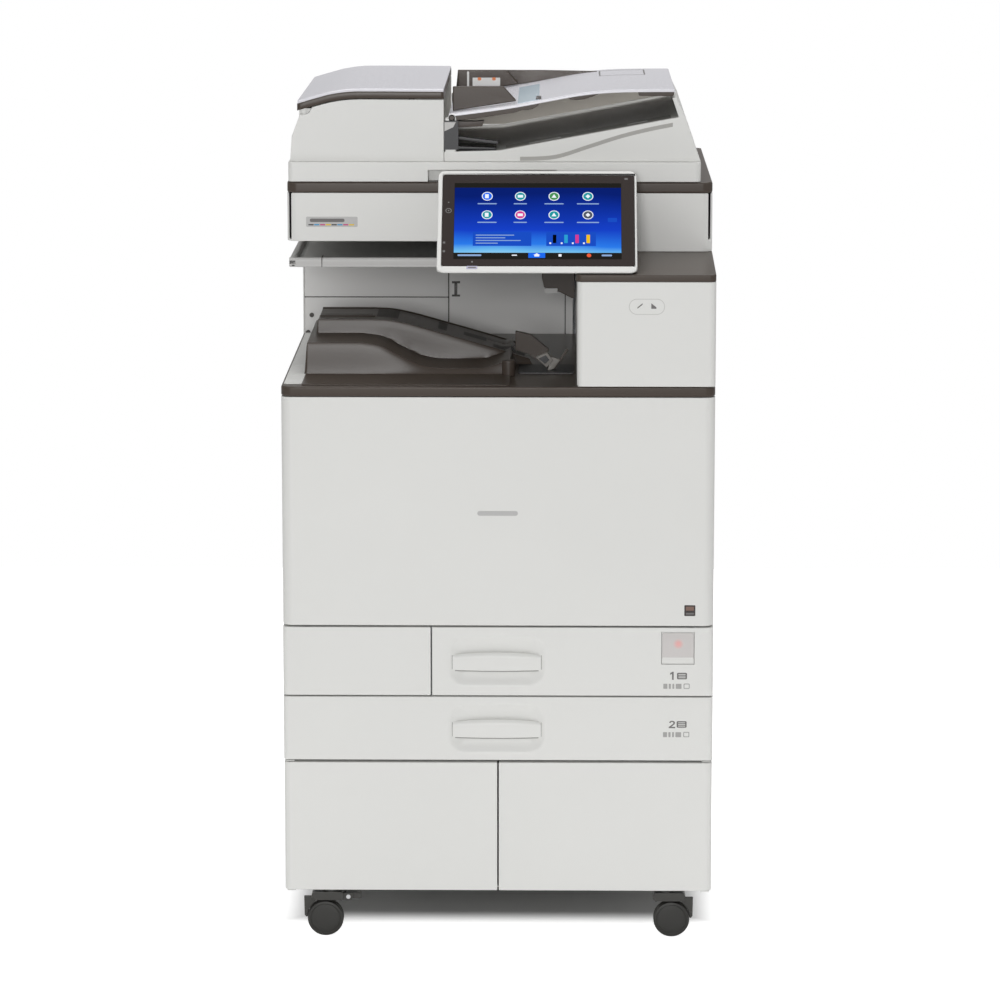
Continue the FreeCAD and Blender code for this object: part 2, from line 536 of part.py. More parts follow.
def column_cover():
    """White cover of the right-hand column, open below and behind, with the paper exit in its left wall."""
    body = new_body()
    low = f"({DECK_TOP} + seat)"
    pad(body, "XY_Plane", low, "column_top", rect("column_x", RIGHT, FRONT, BAY_BACK))
    soften(body, "corner*0.6", Z_AXIS, lambda spot, limit: near(spot.y, limit.YMin))
    pocket(body, "XY_Plane", low, f"column_top",
           rect("column_x + skin", "body_w/2 - skin", f"{FRONT} + skin", f"{BAY_BACK} - skin"))
    pocket(body, "YZ_Plane", "column_x", "column_x + skin",
           rect("step2_y + 20", f"{BAY_BACK} - 30", "exit_low", "exit_high"))
    keep("column_cover", body)


def column_cap():
    """Brown cap of the column, rising to the scanner."""
    body = new_body()
    pad(body, "YZ_Plane", "column_x - 2", RIGHT,
        [(FRONT, "column_top"), (REAR, "column_top"), (REAR, "cap_rear"), (SCAN_FRONT, "cap_rear"),
         (FRONT, "cap_front")])
    soften(body, "corner*0.6", Z_AXIS, lambda spot, limit: near(spot.y, limit.YMin))
    keep("column_cap", body)


# ---------------------------------------------------------------- scanner

def scanner_base():
    """Scanner housing, open at the top, with two inner rails and a skirt down to the column cap."""
    body = new_body()
    pad(body, "XY_Plane", SCAN_LOW, SCAN_MID, rect(LEFT, RIGHT, SCAN_FRONT, REAR))
    pad(body, "XY_Plane", "cap_rear", f"{SCAN_LOW} + 1", rect("column_x - 2", RIGHT, SCAN_FRONT, REAR))
    soften(body, "corner", Z_AXIS, lambda spot, limit: spot.z > limit.ZMin + 30)
    pocket(body, "XY_Plane", f"{SCAN_LOW} + sheet_metal", SCAN_MID,
           rect("-body_w/2 + sheet_metal", "body_w/2 - sheet_metal", f"{SCAN_FRONT} + sheet_metal",
                "body_d/2 - sheet_metal"))
    for low, high in ((f"{SCAN_FRONT} + 1", f"{SCAN_FRONT} + sheet_metal + rail_w"),
                      ("body_d/2 - sheet_metal - rail_w", "body_d/2 - 1")):
        pad(body, "XY_Plane", f"{SCAN_LOW} + 1", "rail_z", rect("-body_w/2 + 14", "body_w/2 - 14", low, high))
    keep("scanner_base", body)


def scanner_top_frame():
    """Brown top frame with the rebated platen opening and the feeder's reading slit."""
    body = new_body()
    pad(body, "XY_Plane", SCAN_MID, SCAN_TOP, rect(LEFT, RIGHT, SCAN_FRONT, REAR))
    soften(body, "corner", Z_AXIS, lambda spot, limit: True)
    glass_top = rect("glass_x", "glass_x + glass_w", "glass_y", "glass_y + glass_d")
    glass_hole = rect("glass_x + glass_rim", "glass_x + glass_w - glass_rim", "glass_y + glass_rim",
                      "glass_y + glass_d - glass_rim")
    pocket(body, "XY_Plane", SCAN_MID, SCAN_TOP, glass_hole)
    pocket(body, "XY_Plane", f"{SCAN_TOP} - glass_thick", SCAN_TOP, glass_top)
    slit = rect("slit_x", "slit_x + slit_w", "glass_y", "glass_y + glass_d")
    slit_hole = rect("slit_x + 3", "slit_x + slit_w - 3", "glass_y + 3", "glass_y + glass_d - 3")
    pocket(body, "XY_Plane", SCAN_MID, SCAN_TOP, slit_hole)
    pocket(body, "XY_Plane", f"{SCAN_TOP} - glass_thick", SCAN_TOP, slit)
    keep("scanner_top_frame", body)


def platen_glasses():
    """Platen glass and the narrow reading glass beside it."""
    level = (f"{SCAN_TOP} - glass_thick", SCAN_TOP)
    depth = ("glass_y", "glass_y + glass_d")
    platen = box(("glass_x", "glass_x + glass_w"), depth, level)
    reading = box(("slit_x", "slit_x + slit_w"), depth, level)
    keep("platen_glass", fuse(platen, reading))


def carriage(name, start):
    """Scanner carriage that runs on the two rails of the housing."""
    low = "(rail_z + 0.3)"
    bar = box((start, f"{start} + carriage_w"), (f"{SCAN_FRONT} + sheet_metal + 1", "body_d/2 - sheet_metal - 1"),
              (low, f"{low} + carriage_height"))
    groove = box((f"{start} + 12", f"{start} + carriage_w - 12"), ("glass_y", "glass_y + glass_d"),
                 (f"{low} + 6", f"{low} + carriage_height + 1"))
    keep(name, cut(bar, groove))


# ---------------------------------------------------------------- document feeder

def feeder_hinges():
    """Two hinge blocks on the scanner's top frame, each with a pin for the feeder's leaf."""
    pieces = []
    for side in ("-", ""):
        centre = f"({side}hinge_x)"
        low = f"{centre} - hinge_w/2"
        high = f"{centre} + hinge_w/2"
        pieces.append(box((low, high), ("hinge_y - 12", "body_d/2 - 6"), (SCAN_TOP, f"{SCAN_TOP} + 3")))
        for edge_low, edge_high in ((low, f"{low} + 6"), (f"{high} - 6", high)):
            pieces.append(box((edge_low, edge_high), ("hinge_y - 8", "hinge_y + 8"), (SCAN_TOP, "hinge_z + 8")))
        pieces.append(rod("x", "hinge_r", ("hinge_y", "hinge_z"), f"{low} + 2", f"{high} - 2"))
    keep("feeder_hinges", fuse(*pieces))


def feeder_base():
    """White base plate of the feeder with its pad recess, grip recess and two hinge leaves."""
    body = new_body()
    pad(body, "XY_Plane", FEED_LOW, FEED_MID, rect("-body_w/2 + seam", "feeder_right", SCAN_FRONT, "feeder_rear"))
    soften(body, "corner/2", Z_AXIS, lambda spot, limit: True)
    pocket(body, "XY_Plane", FEED_LOW, f"{FEED_LOW} + pad_thick",
           rect("glass_x", "glass_x + glass_w - 4", "glass_y", "glass_y + glass_d"))
    pocket(body, "XY_Plane", FEED_LOW, f"{FEED_LOW} + 16",
           rect("feeder_grip_x - feeder_grip_w/2", "feeder_grip_x + feeder_grip_w/2", SCAN_FRONT,
                f"{SCAN_FRONT} + feeder_grip_depth"))
    leaves = []
    for side in ("-", ""):
        centre = f"({side}hinge_x)"
        wide = (f"{centre} - hinge_w/2 + 7", f"{centre} + hinge_w/2 - 7")
        leaves.append(box(wide, ("feeder_rear - 4", "hinge_y"), ("hinge_z - 7.5", "hinge_z + 7.5")))
        leaves.append(rod("x", "7.5", ("hinge_y", "hinge_z"), *wide))
    bore = rod("x", "hinge_r + pin_play", ("hinge_y", "hinge_z"), "-hinge_x - 40", "hinge_x + 40")
    keep("feeder_base", cut(fuse(body, *leaves), bore))


def platen_pad():
    """White sponge pad that presses originals onto the glass."""
    body = new_body()
    pad(body, "XY_Plane", f"{FEED_LOW} + 0.2", f"{FEED_LOW} + pad_thick",
        rect("glass_x + 2", "glass_x + glass_w - 6", "glass_y + 2", "glass_y + glass_d - 2"))
    soften(body, "3", Z_AXIS, lambda spot, limit: True)
    keep("platen_pad", body)


LID_LOW = f"({FEED_TOP} - lid_thick)"


def feed_housing():
    """Left-hand feed unit: an open-topped shell whose left wall leans in, with roller and lid bosses."""
    body = new_body()
    top = f"({LID_LOW} - lid_gap)"
    outer = [("feed_left", FEED_MID), ("feed_x", FEED_MID), ("feed_x", top), ("feed_flat", top),
             ("feed_shoulder", "shoulder_z"), ("feed_left + 2.5", f"{FEED_MID} + 35")]
    inner = [("feed_left + sheet_metal", f"{FEED_MID} + sheet_metal"), ("feed_x + 1", f"{FEED_MID} + sheet_metal"),
             ("feed_x + 1", f"{top} + 5"), ("feed_flat", f"{top} + 5"),
             ("feed_shoulder + sheet_metal", f"{top} + 5"), ("feed_shoulder + sheet_metal", "shoulder_z"),
             ("feed_left + 2.5 + sheet_metal", f"{FEED_MID} + 35")]
    pad(body, "XZ_Plane", FEED_FRONT, "feed_rear", outer)
    pocket(body, "XZ_Plane", f"{FEED_FRONT} + sheet_metal", "feed_rear - sheet_metal", inner)
    pieces = [body]
    bores = []
    for wall, inward in ((f"({FEED_FRONT} + sheet_metal)", ""), ("(feed_rear - sheet_metal)", "-")):
        low = f"{wall} - 1" if not inward else f"{wall} - 7"
        high = f"{wall} + 7" if not inward else f"{wall} + 1"
        pieces.append(rod("y", "8", ("roller_x", "roller_z"), low, high))
        bore_low = wall if not inward else f"{wall} - 8"
        bore_high = f"{wall} + 8" if not inward else wall
        bores.append(rod("y", "4 + pin_play", ("roller_x", "roller_z"), bore_low, bore_high))
        clear_low = f"{wall} + seat" if not inward else low
        clear_high = high if not inward else f"{wall} - seat"
        pieces.append(box(("lid_hinge_x - 3.5", "lid_hinge_x + 4"), (low, high), (f"{FEED_MID} + 40", "shoulder_z - 3")))
        pieces.append(box(("lid_hinge_x - 3.5", "lid_hinge_x + 4"), (clear_low, clear_high),
                          ("shoulder_z - 4", "lid_hinge_z")))
        pieces.append(rod("y", "4", ("lid_hinge_x", "lid_hinge_z"), clear_low, clear_high))
        bores.append(rod("y", "2 + pin_play", ("lid_hinge_x", "lid_hinge_z"), f"{wall} - 20", f"{wall} + 20"))
    for low, high in ((f"{FEED_FRONT} - 1", f"{FEED_FRONT} + sheet_metal"), ("feed_rear - sheet_metal", "feed_rear + 1")):
        bores.append(rod("y", "lid_sweep", ("lid_hinge_x", "lid_hinge_z"), low, high))
    keep("feed_housing", cut(fuse(*pieces), *bores))


def feed_roller():
    """Feed roller on its shaft."""
    low = f"({FEED_FRONT} + sheet_metal + 0.5)"
    high = "(feed_rear - sheet_metal - 0.5)"
    shaft = rod("y", "4", ("roller_x", "roller_z"), low, high)
    sleeves = [rod("y", "roller_r", ("roller_x", "roller_z"), f"{place}", f"{place} + 36")
               for place in ("fence_mid_y - 60", "fence_mid_y + 24")]
    keep("feed_roller", fuse(shaft, *sleeves))


def feeder_lid():
    """Jam-access lid: a curved shell, brown along its lower edge, with two hinge lugs at the left."""
    body = new_body()
    outer = [("feed_shoulder - 4", "shoulder_z + 4.5"), ("feed_flat", LID_LOW), ("feed_x", LID_LOW),
             ("feed_x", FEED_TOP), ("feed_flat", f"{FEED_TOP}"), ("feed_flat - 43", f"{FEED_TOP} - 7"),
             ("feed_shoulder - 4", "shoulder_z + 15")]
    inner = [("feed_shoulder - 5", "shoulder_z + 3"), ("feed_flat", f"{LID_LOW} - 1"),
             ("feed_x - sheet_metal", f"{LID_LOW} - 1"), ("feed_x - sheet_metal", f"{FEED_TOP} - sheet_metal"),
             ("feed_flat", f"{FEED_TOP} - sheet_metal"), ("feed_flat - 43", f"{FEED_TOP} - 7 - sheet_metal"),
             ("feed_shoulder - 5", "shoulder_z + 15 - sheet_metal")]
    pad(body, "XZ_Plane", FEED_FRONT, "feed_rear", outer)
    pocket(body, "XZ_Plane", f"{FEED_FRONT} + sheet_metal", "feed_rear - sheet_metal", inner)
    pieces = [body]
    for wall, inward in ((f"({FEED_FRONT} + sheet_metal)", ""), ("(feed_rear - sheet_metal)", "-")):
        low = f"{wall} + 7.5" if not inward else f"{wall} - 11.5"
        pieces.append(box(("lid_hinge_x - 3", "lid_hinge_x + 5"), (low, f"{low} + 4"), ("lid_hinge_z - 3", "lid_hinge_z + 8")))
        pin_low = f"{wall} + 1" if not inward else f"{wall} - 8"
        pieces.append(rod("y", "2", ("lid_hinge_x", "lid_hinge_z"), pin_low, f"{pin_low} + 7"))
    keep("feeder_lid", fuse(*pieces))


def exit_tray():
    """Right half of the feeder: the sloping tray for read originals, the end wall and the tray's ears."""
    body = new_body()
    pad(body, "XZ_Plane", FEED_FRONT, "feed_rear",
        [("feed_x + 0.3", FEED_MID), ("feeder_right", FEED_MID), ("doc_right + 20.5", f"{FEED_MID} + 44"),
         ("doc_right + 14", "exit_right"), ("doc_right + 2", "doc_mid - 1 - seat"), ("doc_right - 4", "doc_mid - 1 - seat"),
         ("doc_right + 5", "exit_right - 2"), ("0", "exit_left + 1"), ("feed_x + 0.3", "exit_left - 1")])
    pocket(body, "XZ_Plane", f"{FEED_FRONT} + sheet_metal", "feed_rear - sheet_metal",
           [("feed_x + 4", FEED_MID), ("feeder_right - 8", FEED_MID), ("doc_right + 10", f"{FEED_MID} + 40"),
            ("doc_right + 6", "exit_right - 10"), ("0", "exit_left - 3"), ("feed_x + 4", "exit_left - 5")])
    pieces = [body]
    bores = []
    for low, high in ((FEED_FRONT, "doc_front - seat"), ("doc_rear + seat", "doc_rear + 6.5")):
        pieces.append(box(("doc_left - 9", "doc_left + 6"), (low, high), (f"{FEED_MID} + 1", "doc_low - 5")))
        pieces.append(rod("y", "5", ("doc_left", "doc_low - 5"), low, high))
        bores.append(rod("y", "3 + pin_play", ("doc_left", "doc_low - 5"), f"{low} - 2", f"{high} + 2"))
    keep("exit_tray", cut(fuse(*pieces), *bores))


def document_tray():
    """Sloping tray for originals, hinged at the feed unit on two short pins."""
    body = new_body()
    pad(body, "XZ_Plane", "doc_front", "doc_rear",
        [("doc_left - 4", "doc_low - doc_thick"), ("doc_bend", "doc_mid - doc_thick - 1"),
         ("doc_right - 3", "doc_mid - 1"), ("doc_right", f"{FEED_TOP} - 1"), ("doc_bend", "doc_mid"),
         ("doc_left - 4", "doc_low")])
    front_pin = rod("y", "3", ("doc_left", "doc_low - 5"), "doc_front - 5", "doc_front + 5")
    rear_pin = rod("y", "3", ("doc_left", "doc_low - 5"), "doc_rear - 5", "doc_rear + 5")
    keep("document_tray", fuse(body, front_pin, rear_pin))


def side_fence(name, side):
    """Side fence that slides across the document tray."""
    body = new_body()
    slope = "((doc_mid - doc_low)/(doc_bend - doc_left + 4))"
    low_y = "fence_mid_y - fence_y - fence_w" if side == "-" else "fence_mid_y + fence_y"
    foot = "(doc_left + 2)"
    end = f"({foot} + fence_length)"
    pad(body, "XZ_Plane", low_y, f"{low_y} + fence_w",
        [(foot, f"doc_low + 6*{slope} + 0.3"), (end, f"doc_low + (6 + fence_length)*{slope} + 0.3"),
         (end, f"doc_low + (6 + fence_length)*{slope} + 2"), (f"{end} - 17", FEED_TOP), (foot, FEED_TOP)])
    keep(name, body)


# ---------------------------------------------------------------- operation panel

def lean(body):
    """Lays a flat panel piece at the panel's tilt, with its lower front edge at the machine's front."""
    body.Placement = FreeCAD.Placement(FreeCAD.Vector(), FreeCAD.Rotation(X_AXIS, 45))
    bind(body, "Placement.Rotation.Angle", "panel_tilt")
    bind(body, "Placement.Base.x", "panel_x")
    bind(body, "Placement.Base.y", f"{FRONT} + 1.5")
    bind(body, "Placement.Base.z", "panel_z")
    return body


def panel_housing():
    """Panel housing: a rounded slab cut level along its lower back, recessed for the display, with hinge lugs."""
    body = new_body()
    pad(body, "XY_Plane", "-panel_thick", "0", rect("0", "panel_w", "0", "panel_length"))
    soften(body, "panel_round", Z_AXIS, lambda spot, limit: True)
    pocket(body, "XY_Plane", "-display_thick", "0",
           rect("panel_rim", "panel_w - panel_rim/2", "panel_lip", "panel_length - panel_rim"))
    pocket(body, "YZ_Plane", "0", "panel_w",
           [("0", "-1"), ("0", "-panel_thick"), ("panel_thick*1.0", "-panel_thick")])
    lean(body)
    middle = "(panel_x + panel_w/2)"
    lugs = []
    for side in ("-", ""):
        centre = f"({middle} + ({side}1)*(panel_arm_w/2 + 4.5))"
        wide = (f"{centre} - 4", f"{centre} + 4")
        lugs.append(box(wide, ("panel_pivot_y - 24", "panel_pivot_y"), ("panel_pivot_z - 8", "panel_pivot_z + 8")))
        lugs.append(rod("x", "8", ("panel_pivot_y", "panel_pivot_z"), *wide))
    bore = rod("x", "panel_pin_r + pin_play", ("panel_pivot_y", "panel_pivot_z"),
               f"{middle} - panel_arm_w", f"{middle} + panel_arm_w")
    keep("panel_housing", cut(fuse(body, *lugs), bore))


def panel_display():
    """Glass-fronted touch display in the panel's recess."""
    body = new_body()
    pad(body, "XY_Plane", "-display_thick", "-0.3",
        rect("panel_rim + 0.3", "panel_w - panel_rim/2 - 0.3", "panel_lip + 0.3", "panel_length - panel_rim - 0.3"))
    soften(body, "3", Z_AXIS, lambda spot, limit: True)
    keep("panel_display", lean(body))


def panel_arm():
    """Arm from the scanner's front that carries the panel's hinge pin."""
    middle = "(panel_x + panel_w/2)"
    wide = (f"{middle} - panel_arm_w/2", f"{middle} + panel_arm_w/2")
    arm = box(wide, ("panel_pivot_y", SCAN_FRONT), ("panel_pivot_z - 8", "panel_pivot_z + 8"))
    head = rod("x", "8", ("panel_pivot_y", "panel_pivot_z"), *wide)
    pin = rod("x", "panel_pin_r", ("panel_pivot_y", "panel_pivot_z"), f"{middle} - panel_arm_w/2 - 8.5",
              f"{middle} + panel_arm_w/2 + 8.5")
    keep("panel_arm", fuse(arm, head, pin))


# ---------------------------------------------------------------- front cover and engine

def front_cover():
    """Large front cover, a shell with a half-height hinge rim and four lugs."""
    body = new_body()
    low = f"({TRAY1_TOP} + 1)"
    high = f"({DECK_LOW} - 0.8)"
    pin_z = f"({low} + cover_pin_inset)"
    pin_y = f"({FRONT} + cover_pin_inset)"
    pad(body, "XY_Plane", low, high, rect(LEFT, RIGHT, FRONT, FRONT_BACK))
    soften(body, "corner", Z_AXIS, lambda spot, limit: near(spot.y, limit.YMin))
    soften(body, "2.5", X_AXIS, lambda spot, limit: near(spot.y, limit.YMin) and near(spot.z, limit.ZMin))
    pocket(body, "XZ_Plane", f"{FRONT} + cover_skin", FRONT_BACK,
           rect("-body_w/2 + cover_skin + 8", "body_w/2 - cover_skin - 8", f"{low} + cover_skin", f"{high} - 10"))
    for side in ("-", ""):
        middle = f"({side}cover_bracket_x)"
        pocket(body, "XY_Plane", low, f"{low} + cover_pin_inset + 4.5",
               rect(f"{middle} - 4", f"{middle} + 4", f"{FRONT} + 2.2", FRONT_BACK))
    pieces = [body]
    for side in ("-", ""):
        middle = f"({side}cover_bracket_x)"
        for hand in ("-", ""):
            centre = f"({middle} + ({hand}1)*(2.5 + lug_w/2))"
            wide = (f"{centre} - lug_w/2 + 0.3", f"{centre} + lug_w/2 - 0.3")
            pieces.append(box(wide, (f"{FRONT} + 2", pin_y), (f"{pin_z} - 5", f"{pin_z} + 5")))
            pieces.append(rod("x", "5", (pin_y, pin_z), *wide))
    bore = [rod("x", "cover_pin_r + pin_play", (pin_y, pin_z), f"({side}cover_bracket_x) - 3 - lug_w",
                f"({side}cover_bracket_x) + 3 + lug_w") for side in ("-", "")]
    keep("front_cover", cut(fuse(*pieces), *bore))


TONER_FRONT = f"({FASCIA} - 1)"


def toner_x(index):
    return f"({index - 1.5}*toner_pitch - 20)"


def inner_cover():
    """Inner cover behind the front cover, with four toner openings and a waste-toner door line."""
    body = new_body()
    pad(body, "XZ_Plane", f"{FASCIA} + 0", f"{FASCIA} + sheet_metal",
        rect(f"-{INNER_W} + 6", f"{INNER_W} - 32", f"{TRAY1_TOP} + 20", f"{DECK_LOW} - 6"))
    holes = [rod("y", "toner_r + seat", (toner_x(index), "toner_z"), f"{FASCIA} - 2", f"{FASCIA} + 10")
             for index in range(4)]
    keep("inner_cover", cut(body, *holes))


def toner_bottle(name, index):
    """Toner bottle with a wider front cap and a finger bar."""
    x = toner_x(index)
    tube = rod("y", "toner_r", (x, "toner_z"), TONER_FRONT, f"{TONER_FRONT} + toner_length")
    nose = rod("y", "toner_r*0.45", (x, "toner_z"), f"{TONER_FRONT} + toner_length - 1", f"{TONER_FRONT} + toner_length + 14")
    dish_left = box((f"{x} - toner_r*0.6", f"{x} - 4"), (f"{TONER_FRONT} - 1", f"{TONER_FRONT} + 9"),
                    ("toner_z - 14", "toner_z + 14"))
    dish_right = box((f"{x} + 4", f"{x} + toner_r*0.6"), (f"{TONER_FRONT} - 1", f"{TONER_FRONT} + 9"),
                     ("toner_z - 14", "toner_z + 14"))
    keep(f"toner_bottle_{name}", cut(fuse(tube, nose), dish_left, dish_right))


def print_engine():
    """Transfer belt cradle with its end plates and four drums below."""
    front = f"({FASCIA} + sheet_metal)"
    back = "(body_d/2 - skin - sheet_metal)"
    belt = box(("-belt_w/2 - 20", "belt_w/2 - 20"), (f"{front} + 12", f"{back} - 12"), ("belt_low", "belt_high"))
    hollow = box(("-belt_w/2 - 8", "belt_w/2 - 32"), (front, back), ("belt_low + 6", "belt_high - 6"))
    ends = [box(("-belt_w/2 - 30", "belt_w/2 - 10"), (low, high), ("belt_low - 60", "belt_high + 6"))
            for low, high in ((front, f"{front} + 13"), (f"{back} - 13", back))]
    drums = [rod("y", "drum_r", (f"({index - 1.5}*belt_w/4.4 - 20)", "belt_low - drum_r - 8"), f"{front} + 12", f"{back} - 12")
             for index in range(4)]
    keep("print_engine", fuse(cut(belt, hollow), *ends, *drums))


# ---------------------------------------------------------------- paper trays

def recess_points(low_z, high_z):
    middle = f"(({low_z} + {high_z})/2)"
    return rect("handle_x - handle_w/2", "handle_x + handle_w/2", f"{middle} - handle_height/2",
                f"{middle} + handle_height/2")


def tray_front(name, left, low, high, windowed):
    """Tray front with its dished handle recess and, on tray 1, the window for the power switch."""
    body = new_body()
    pad(body, "XY_Plane", low, high, rect(left, RIGHT, FRONT, FRONT_BACK))
    soften(body, "corner/2", Z_AXIS, lambda spot, limit: near(spot.y, limit.YMin) and near(spot.x, limit.XMax))
    if not windowed:
        soften(body, "corner/2", Z_AXIS, lambda spot, limit: near(spot.y, limit.YMin) and near(spot.x, limit.XMin))
    pocket(body, "XZ_Plane", FRONT, f"{FRONT} + handle_depth", recess_points(low, high))
    soften(body, "handle_round", Y_AXIS, lambda spot, limit: spot.y < limit.YMax - 2 and abs(spot.x) < limit.XMax - 30)
    if windowed:
        reach = "(switch_w/2 + seam*0.6)"
        pocket(body, "XZ_Plane", FRONT, FRONT_BACK,
               rect(f"switch_x - {reach}", f"switch_x + {reach}", f"switch_z - {reach}", f"switch_z + {reach}"))
    keep(name, body)


def tray_bin(name, left, right, floor, height, length):
    """Open paper bin that slides on its shelf."""
    body = new_body()
    back = f"({FRONT_BACK} + {length})"
    pad(body, "XY_Plane", floor, f"{floor} + {height}", rect(left, right, FRONT_BACK, back))
    pocket(body, "XY_Plane", f"{floor} + bin_wall", f"{floor} + {height}",
           rect(f"{left} + bin_wall", f"{right} - bin_wall", f"{FRONT_BACK} + bin_wall", f"{back} - bin_wall"))
    keep(name, body)


def tray_grip(name, low, high):
    """Grip bar across the handle recess, standing on two end legs."""
    body = new_body()
    middle = f"(({low} + {high})/2)"
    left = "(handle_x - handle_w/2 + grip_gap)"
    right = "(handle_x + handle_w/2 - grip_gap)"
    tall = (f"{middle} - grip_height/2", f"{middle} + grip_height/2")
    pad(body, "XZ_Plane", FRONT, f"{FRONT} + handle_depth", rect(left, right, *tall))
    pocket(body, "XZ_Plane", f"{FRONT} + grip_thick", f"{FRONT} + handle_depth",
           rect(f"{left} + 7", f"{right} - 7", *tall))
    soften(body, "3", X_AXIS, lambda spot, limit: near(spot.y, limit.YMin))
    keep(name, body)


def power_switch():
    """Switch housing on the frame, its hinged flap and the push button behind it."""
    half = "switch_w/2"
    left = f"(switch_x - {half})"
    right = f"(switch_x + {half})"
    low = f"(switch_z - {half})"
    high = f"(switch_z + {half})"
    face = f"({FRONT} + 1)"
    block = box((left, right), (face, FASCIA), (low, high))
    room = box((f"{left} + switch_wall", f"{right} - switch_wall"), (f"{face} - 1", f"{face} + switch_depth"),
               (f"{low} + 7", f"{high} - switch_wall"))
    pin = rod("x", "flap_pin_r", (f"{face} + 2", f"{low} + 10"), f"{left} + 1", f"{right} - 1")
    half_button = "button_w/2"
    well = box((f"switch_x - {half_button} - 0.3", f"switch_x + {half_button} + 0.3"),
               (f"{face} + switch_depth - 1", f"{face} + switch_depth + 5"),
               (f"switch_z - {half_button} - 0.3", f"switch_z + {half_button} + 0.3"))
    keep("switch_housing", fuse(cut(block, room, well), pin))
    flap = box((f"{left} + switch_wall + 0.3", f"{right} - switch_wall - 0.3"), (f"{face} + 0.5", f"{face} + 0.5 + flap_thick"),
               (f"{low} + 7.5", f"{high} - switch_wall - 0.4"))
    knuckle = rod("x", "2.4", (f"{face} + 2.4", f"{low} + 10"), f"{left} + switch_wall + 0.3", f"{right} - switch_wall - 0.3")
    bore = rod("x", "flap_pin_r + pin_play", (f"{face} + 2", f"{low} + 10"), left, right)
    keep("switch_flap", cut(fuse(flap, knuckle), bore))
    keep("power_button", box((f"switch_x - {half_button}", f"switch_x + {half_button}"),
                             (f"{face} + switch_depth - button_proud", f"{face} + switch_depth + 1.6"),
                             (f"switch_z - {half_button}", f"switch_z + {half_button}")))


# ---------------------------------------------------------------- right side door

def side_door():
    """Duplex door on the right side, hinged along its lower edge, with the bypass tray's opening."""
    body = new_body()
    outer = RIGHT
    inner = "(body_w/2 - side_door_thick)"
    low_y = SIDE_FRONT
    pad(body, "YZ_Plane", inner, outer, rect(low_y, "door_rear", SIDE_LOW, SIDE_HIGH))
    pocket(body, "YZ_Plane", inner, f"{inner} + 8", rect(f"{low_y} + 34", "door_rear - 34", f"{SIDE_LOW} + 30", f"{SIDE_HIGH} - 14"))
    pocket(body, "YZ_Plane", f"{outer} - bypass_thick - 1", outer, rect("-bypass_y", "bypass_y", "bypass_low", "bypass_high"))
    soften(body, "side_round", Y_AXIS, lambda spot, limit: near(spot.z, limit.ZMin))
    hinge = (f"({INNER_W} - side_door_thick/2 + 3)", f"{SIDE_LOW} + 11")
    bores = [rod("y", "side_pin_r + pin_play", hinge, low, high)
             for low, high in ((FASCIA, f"{FASCIA} + 31"), ("door_rear - 17", "door_rear + 3"))]
    ledge_pin = rod("y", "3", ("body_w/2 - bypass_thick/2 - 0.5", "bypass_low + 7"), "-bypass_y - 6", "-bypass_y + 6")
    other_pin = rod("y", "3", ("body_w/2 - bypass_thick/2 - 0.5", "bypass_low + 7"), "bypass_y - 6", "bypass_y + 6")
    keep("side_door", fuse(cut(body, *bores), ledge_pin, other_pin))


def bypass_tray():
    """Bypass tray that folds out of the side door."""
    hinge = ("body_w/2 - bypass_thick/2 - 0.5", "bypass_low + 7")
    low_x = "(body_w/2 - bypass_thick - 0.2)"
    body = new_body()
    pad(body, "YZ_Plane", low_x, "body_w/2 - 0.5", rect("-bypass_y + 0.6", "bypass_y - 0.6", "bypass_low + 2.5", "bypass_high - 1"))
    soften(body, "4.4", Y_AXIS, lambda spot, limit: near(spot.z, limit.ZMin))
    bores = [rod("y", "3 + pin_play", hinge, "-bypass_y", "-bypass_y + 7"),
             rod("y", "3 + pin_play", hinge, "bypass_y - 7", "bypass_y")]
    grip = box(("body_w/2 - 5", "body_w/2"), ("-30", "30"), ("bypass_high - 18", "bypass_high - 8"))
    keep("bypass_tray", cut(body, grip, *bores))


caster_plates()
for corner_name, side_sign, end_sign in (("front_left", "-", "-"), ("front_right", "", "-"),
                                         ("rear_left", "-", ""), ("rear_right", "", "")):
    caster(corner_name, side_sign, end_sign, corner_name == "front_left")
cabinet_shell()
cabinet_door("left", "-")
cabinet_door("right", "")
main_frame()
side_cover("left_cover", "-")
side_cover("right_cover", "")
rear_cover()
power_inlet()
left_front_panel()
output_deck()
bay_back_wall()
inner_tray()
column_cover()
column_cap()
scanner_base()
scanner_top_frame()
platen_glasses()
carriage("mirror_carriage", "(-body_w/2 + sheet_metal + 6)")
carriage("lamp_carriage", "(-body_w/2 + sheet_metal + 50)")
feeder_hinges()
feeder_base()
platen_pad()
feed_housing()
feed_roller()
feeder_lid()
exit_tray()
document_tray()
side_fence("front_fence", "-")
side_fence("rear_fence", "")
panel_housing()
panel_display()
panel_arm()
front_cover()
inner_cover()
for place, colour in enumerate(("yellow", "magenta", "cyan", "black")):
    toner_bottle(colour, place)
print_engine()
tray1_edges = (f"({TRAY2_TOP} + seam/2)", f"({TRAY1_TOP} - seam/2)")
tray2_edges = (f"({CABINET_TOP} + seam/2)", f"({TRAY2_TOP} - seam/2)")
tray_front("tray1_front", "tray1_split + seam/2", *tray1_edges, True)
tray_front("tray2_front", LEFT, *tray2_edges, False)
tray_bin("tray1_bin", BIN1_LEFT, "tray1_bin_right", f"({TRAY2_TOP} + shelf/2 + seat)", "bin1_height", "bin_length")
tray_bin("tray2_bin", f"(-{INNER_W} + sheet_metal + seam)", f"({INNER_W} - sheet_metal - seam)",
         f"({CABINET_TOP} + sheet_metal + seat)", "bin2_height", "bin_length")
tray_grip("tray1_grip", *tray1_edges)
tray_grip("tray2_grip", *tray2_edges)
power_switch()
side_door()
bypass_tray()

doc.recompute()

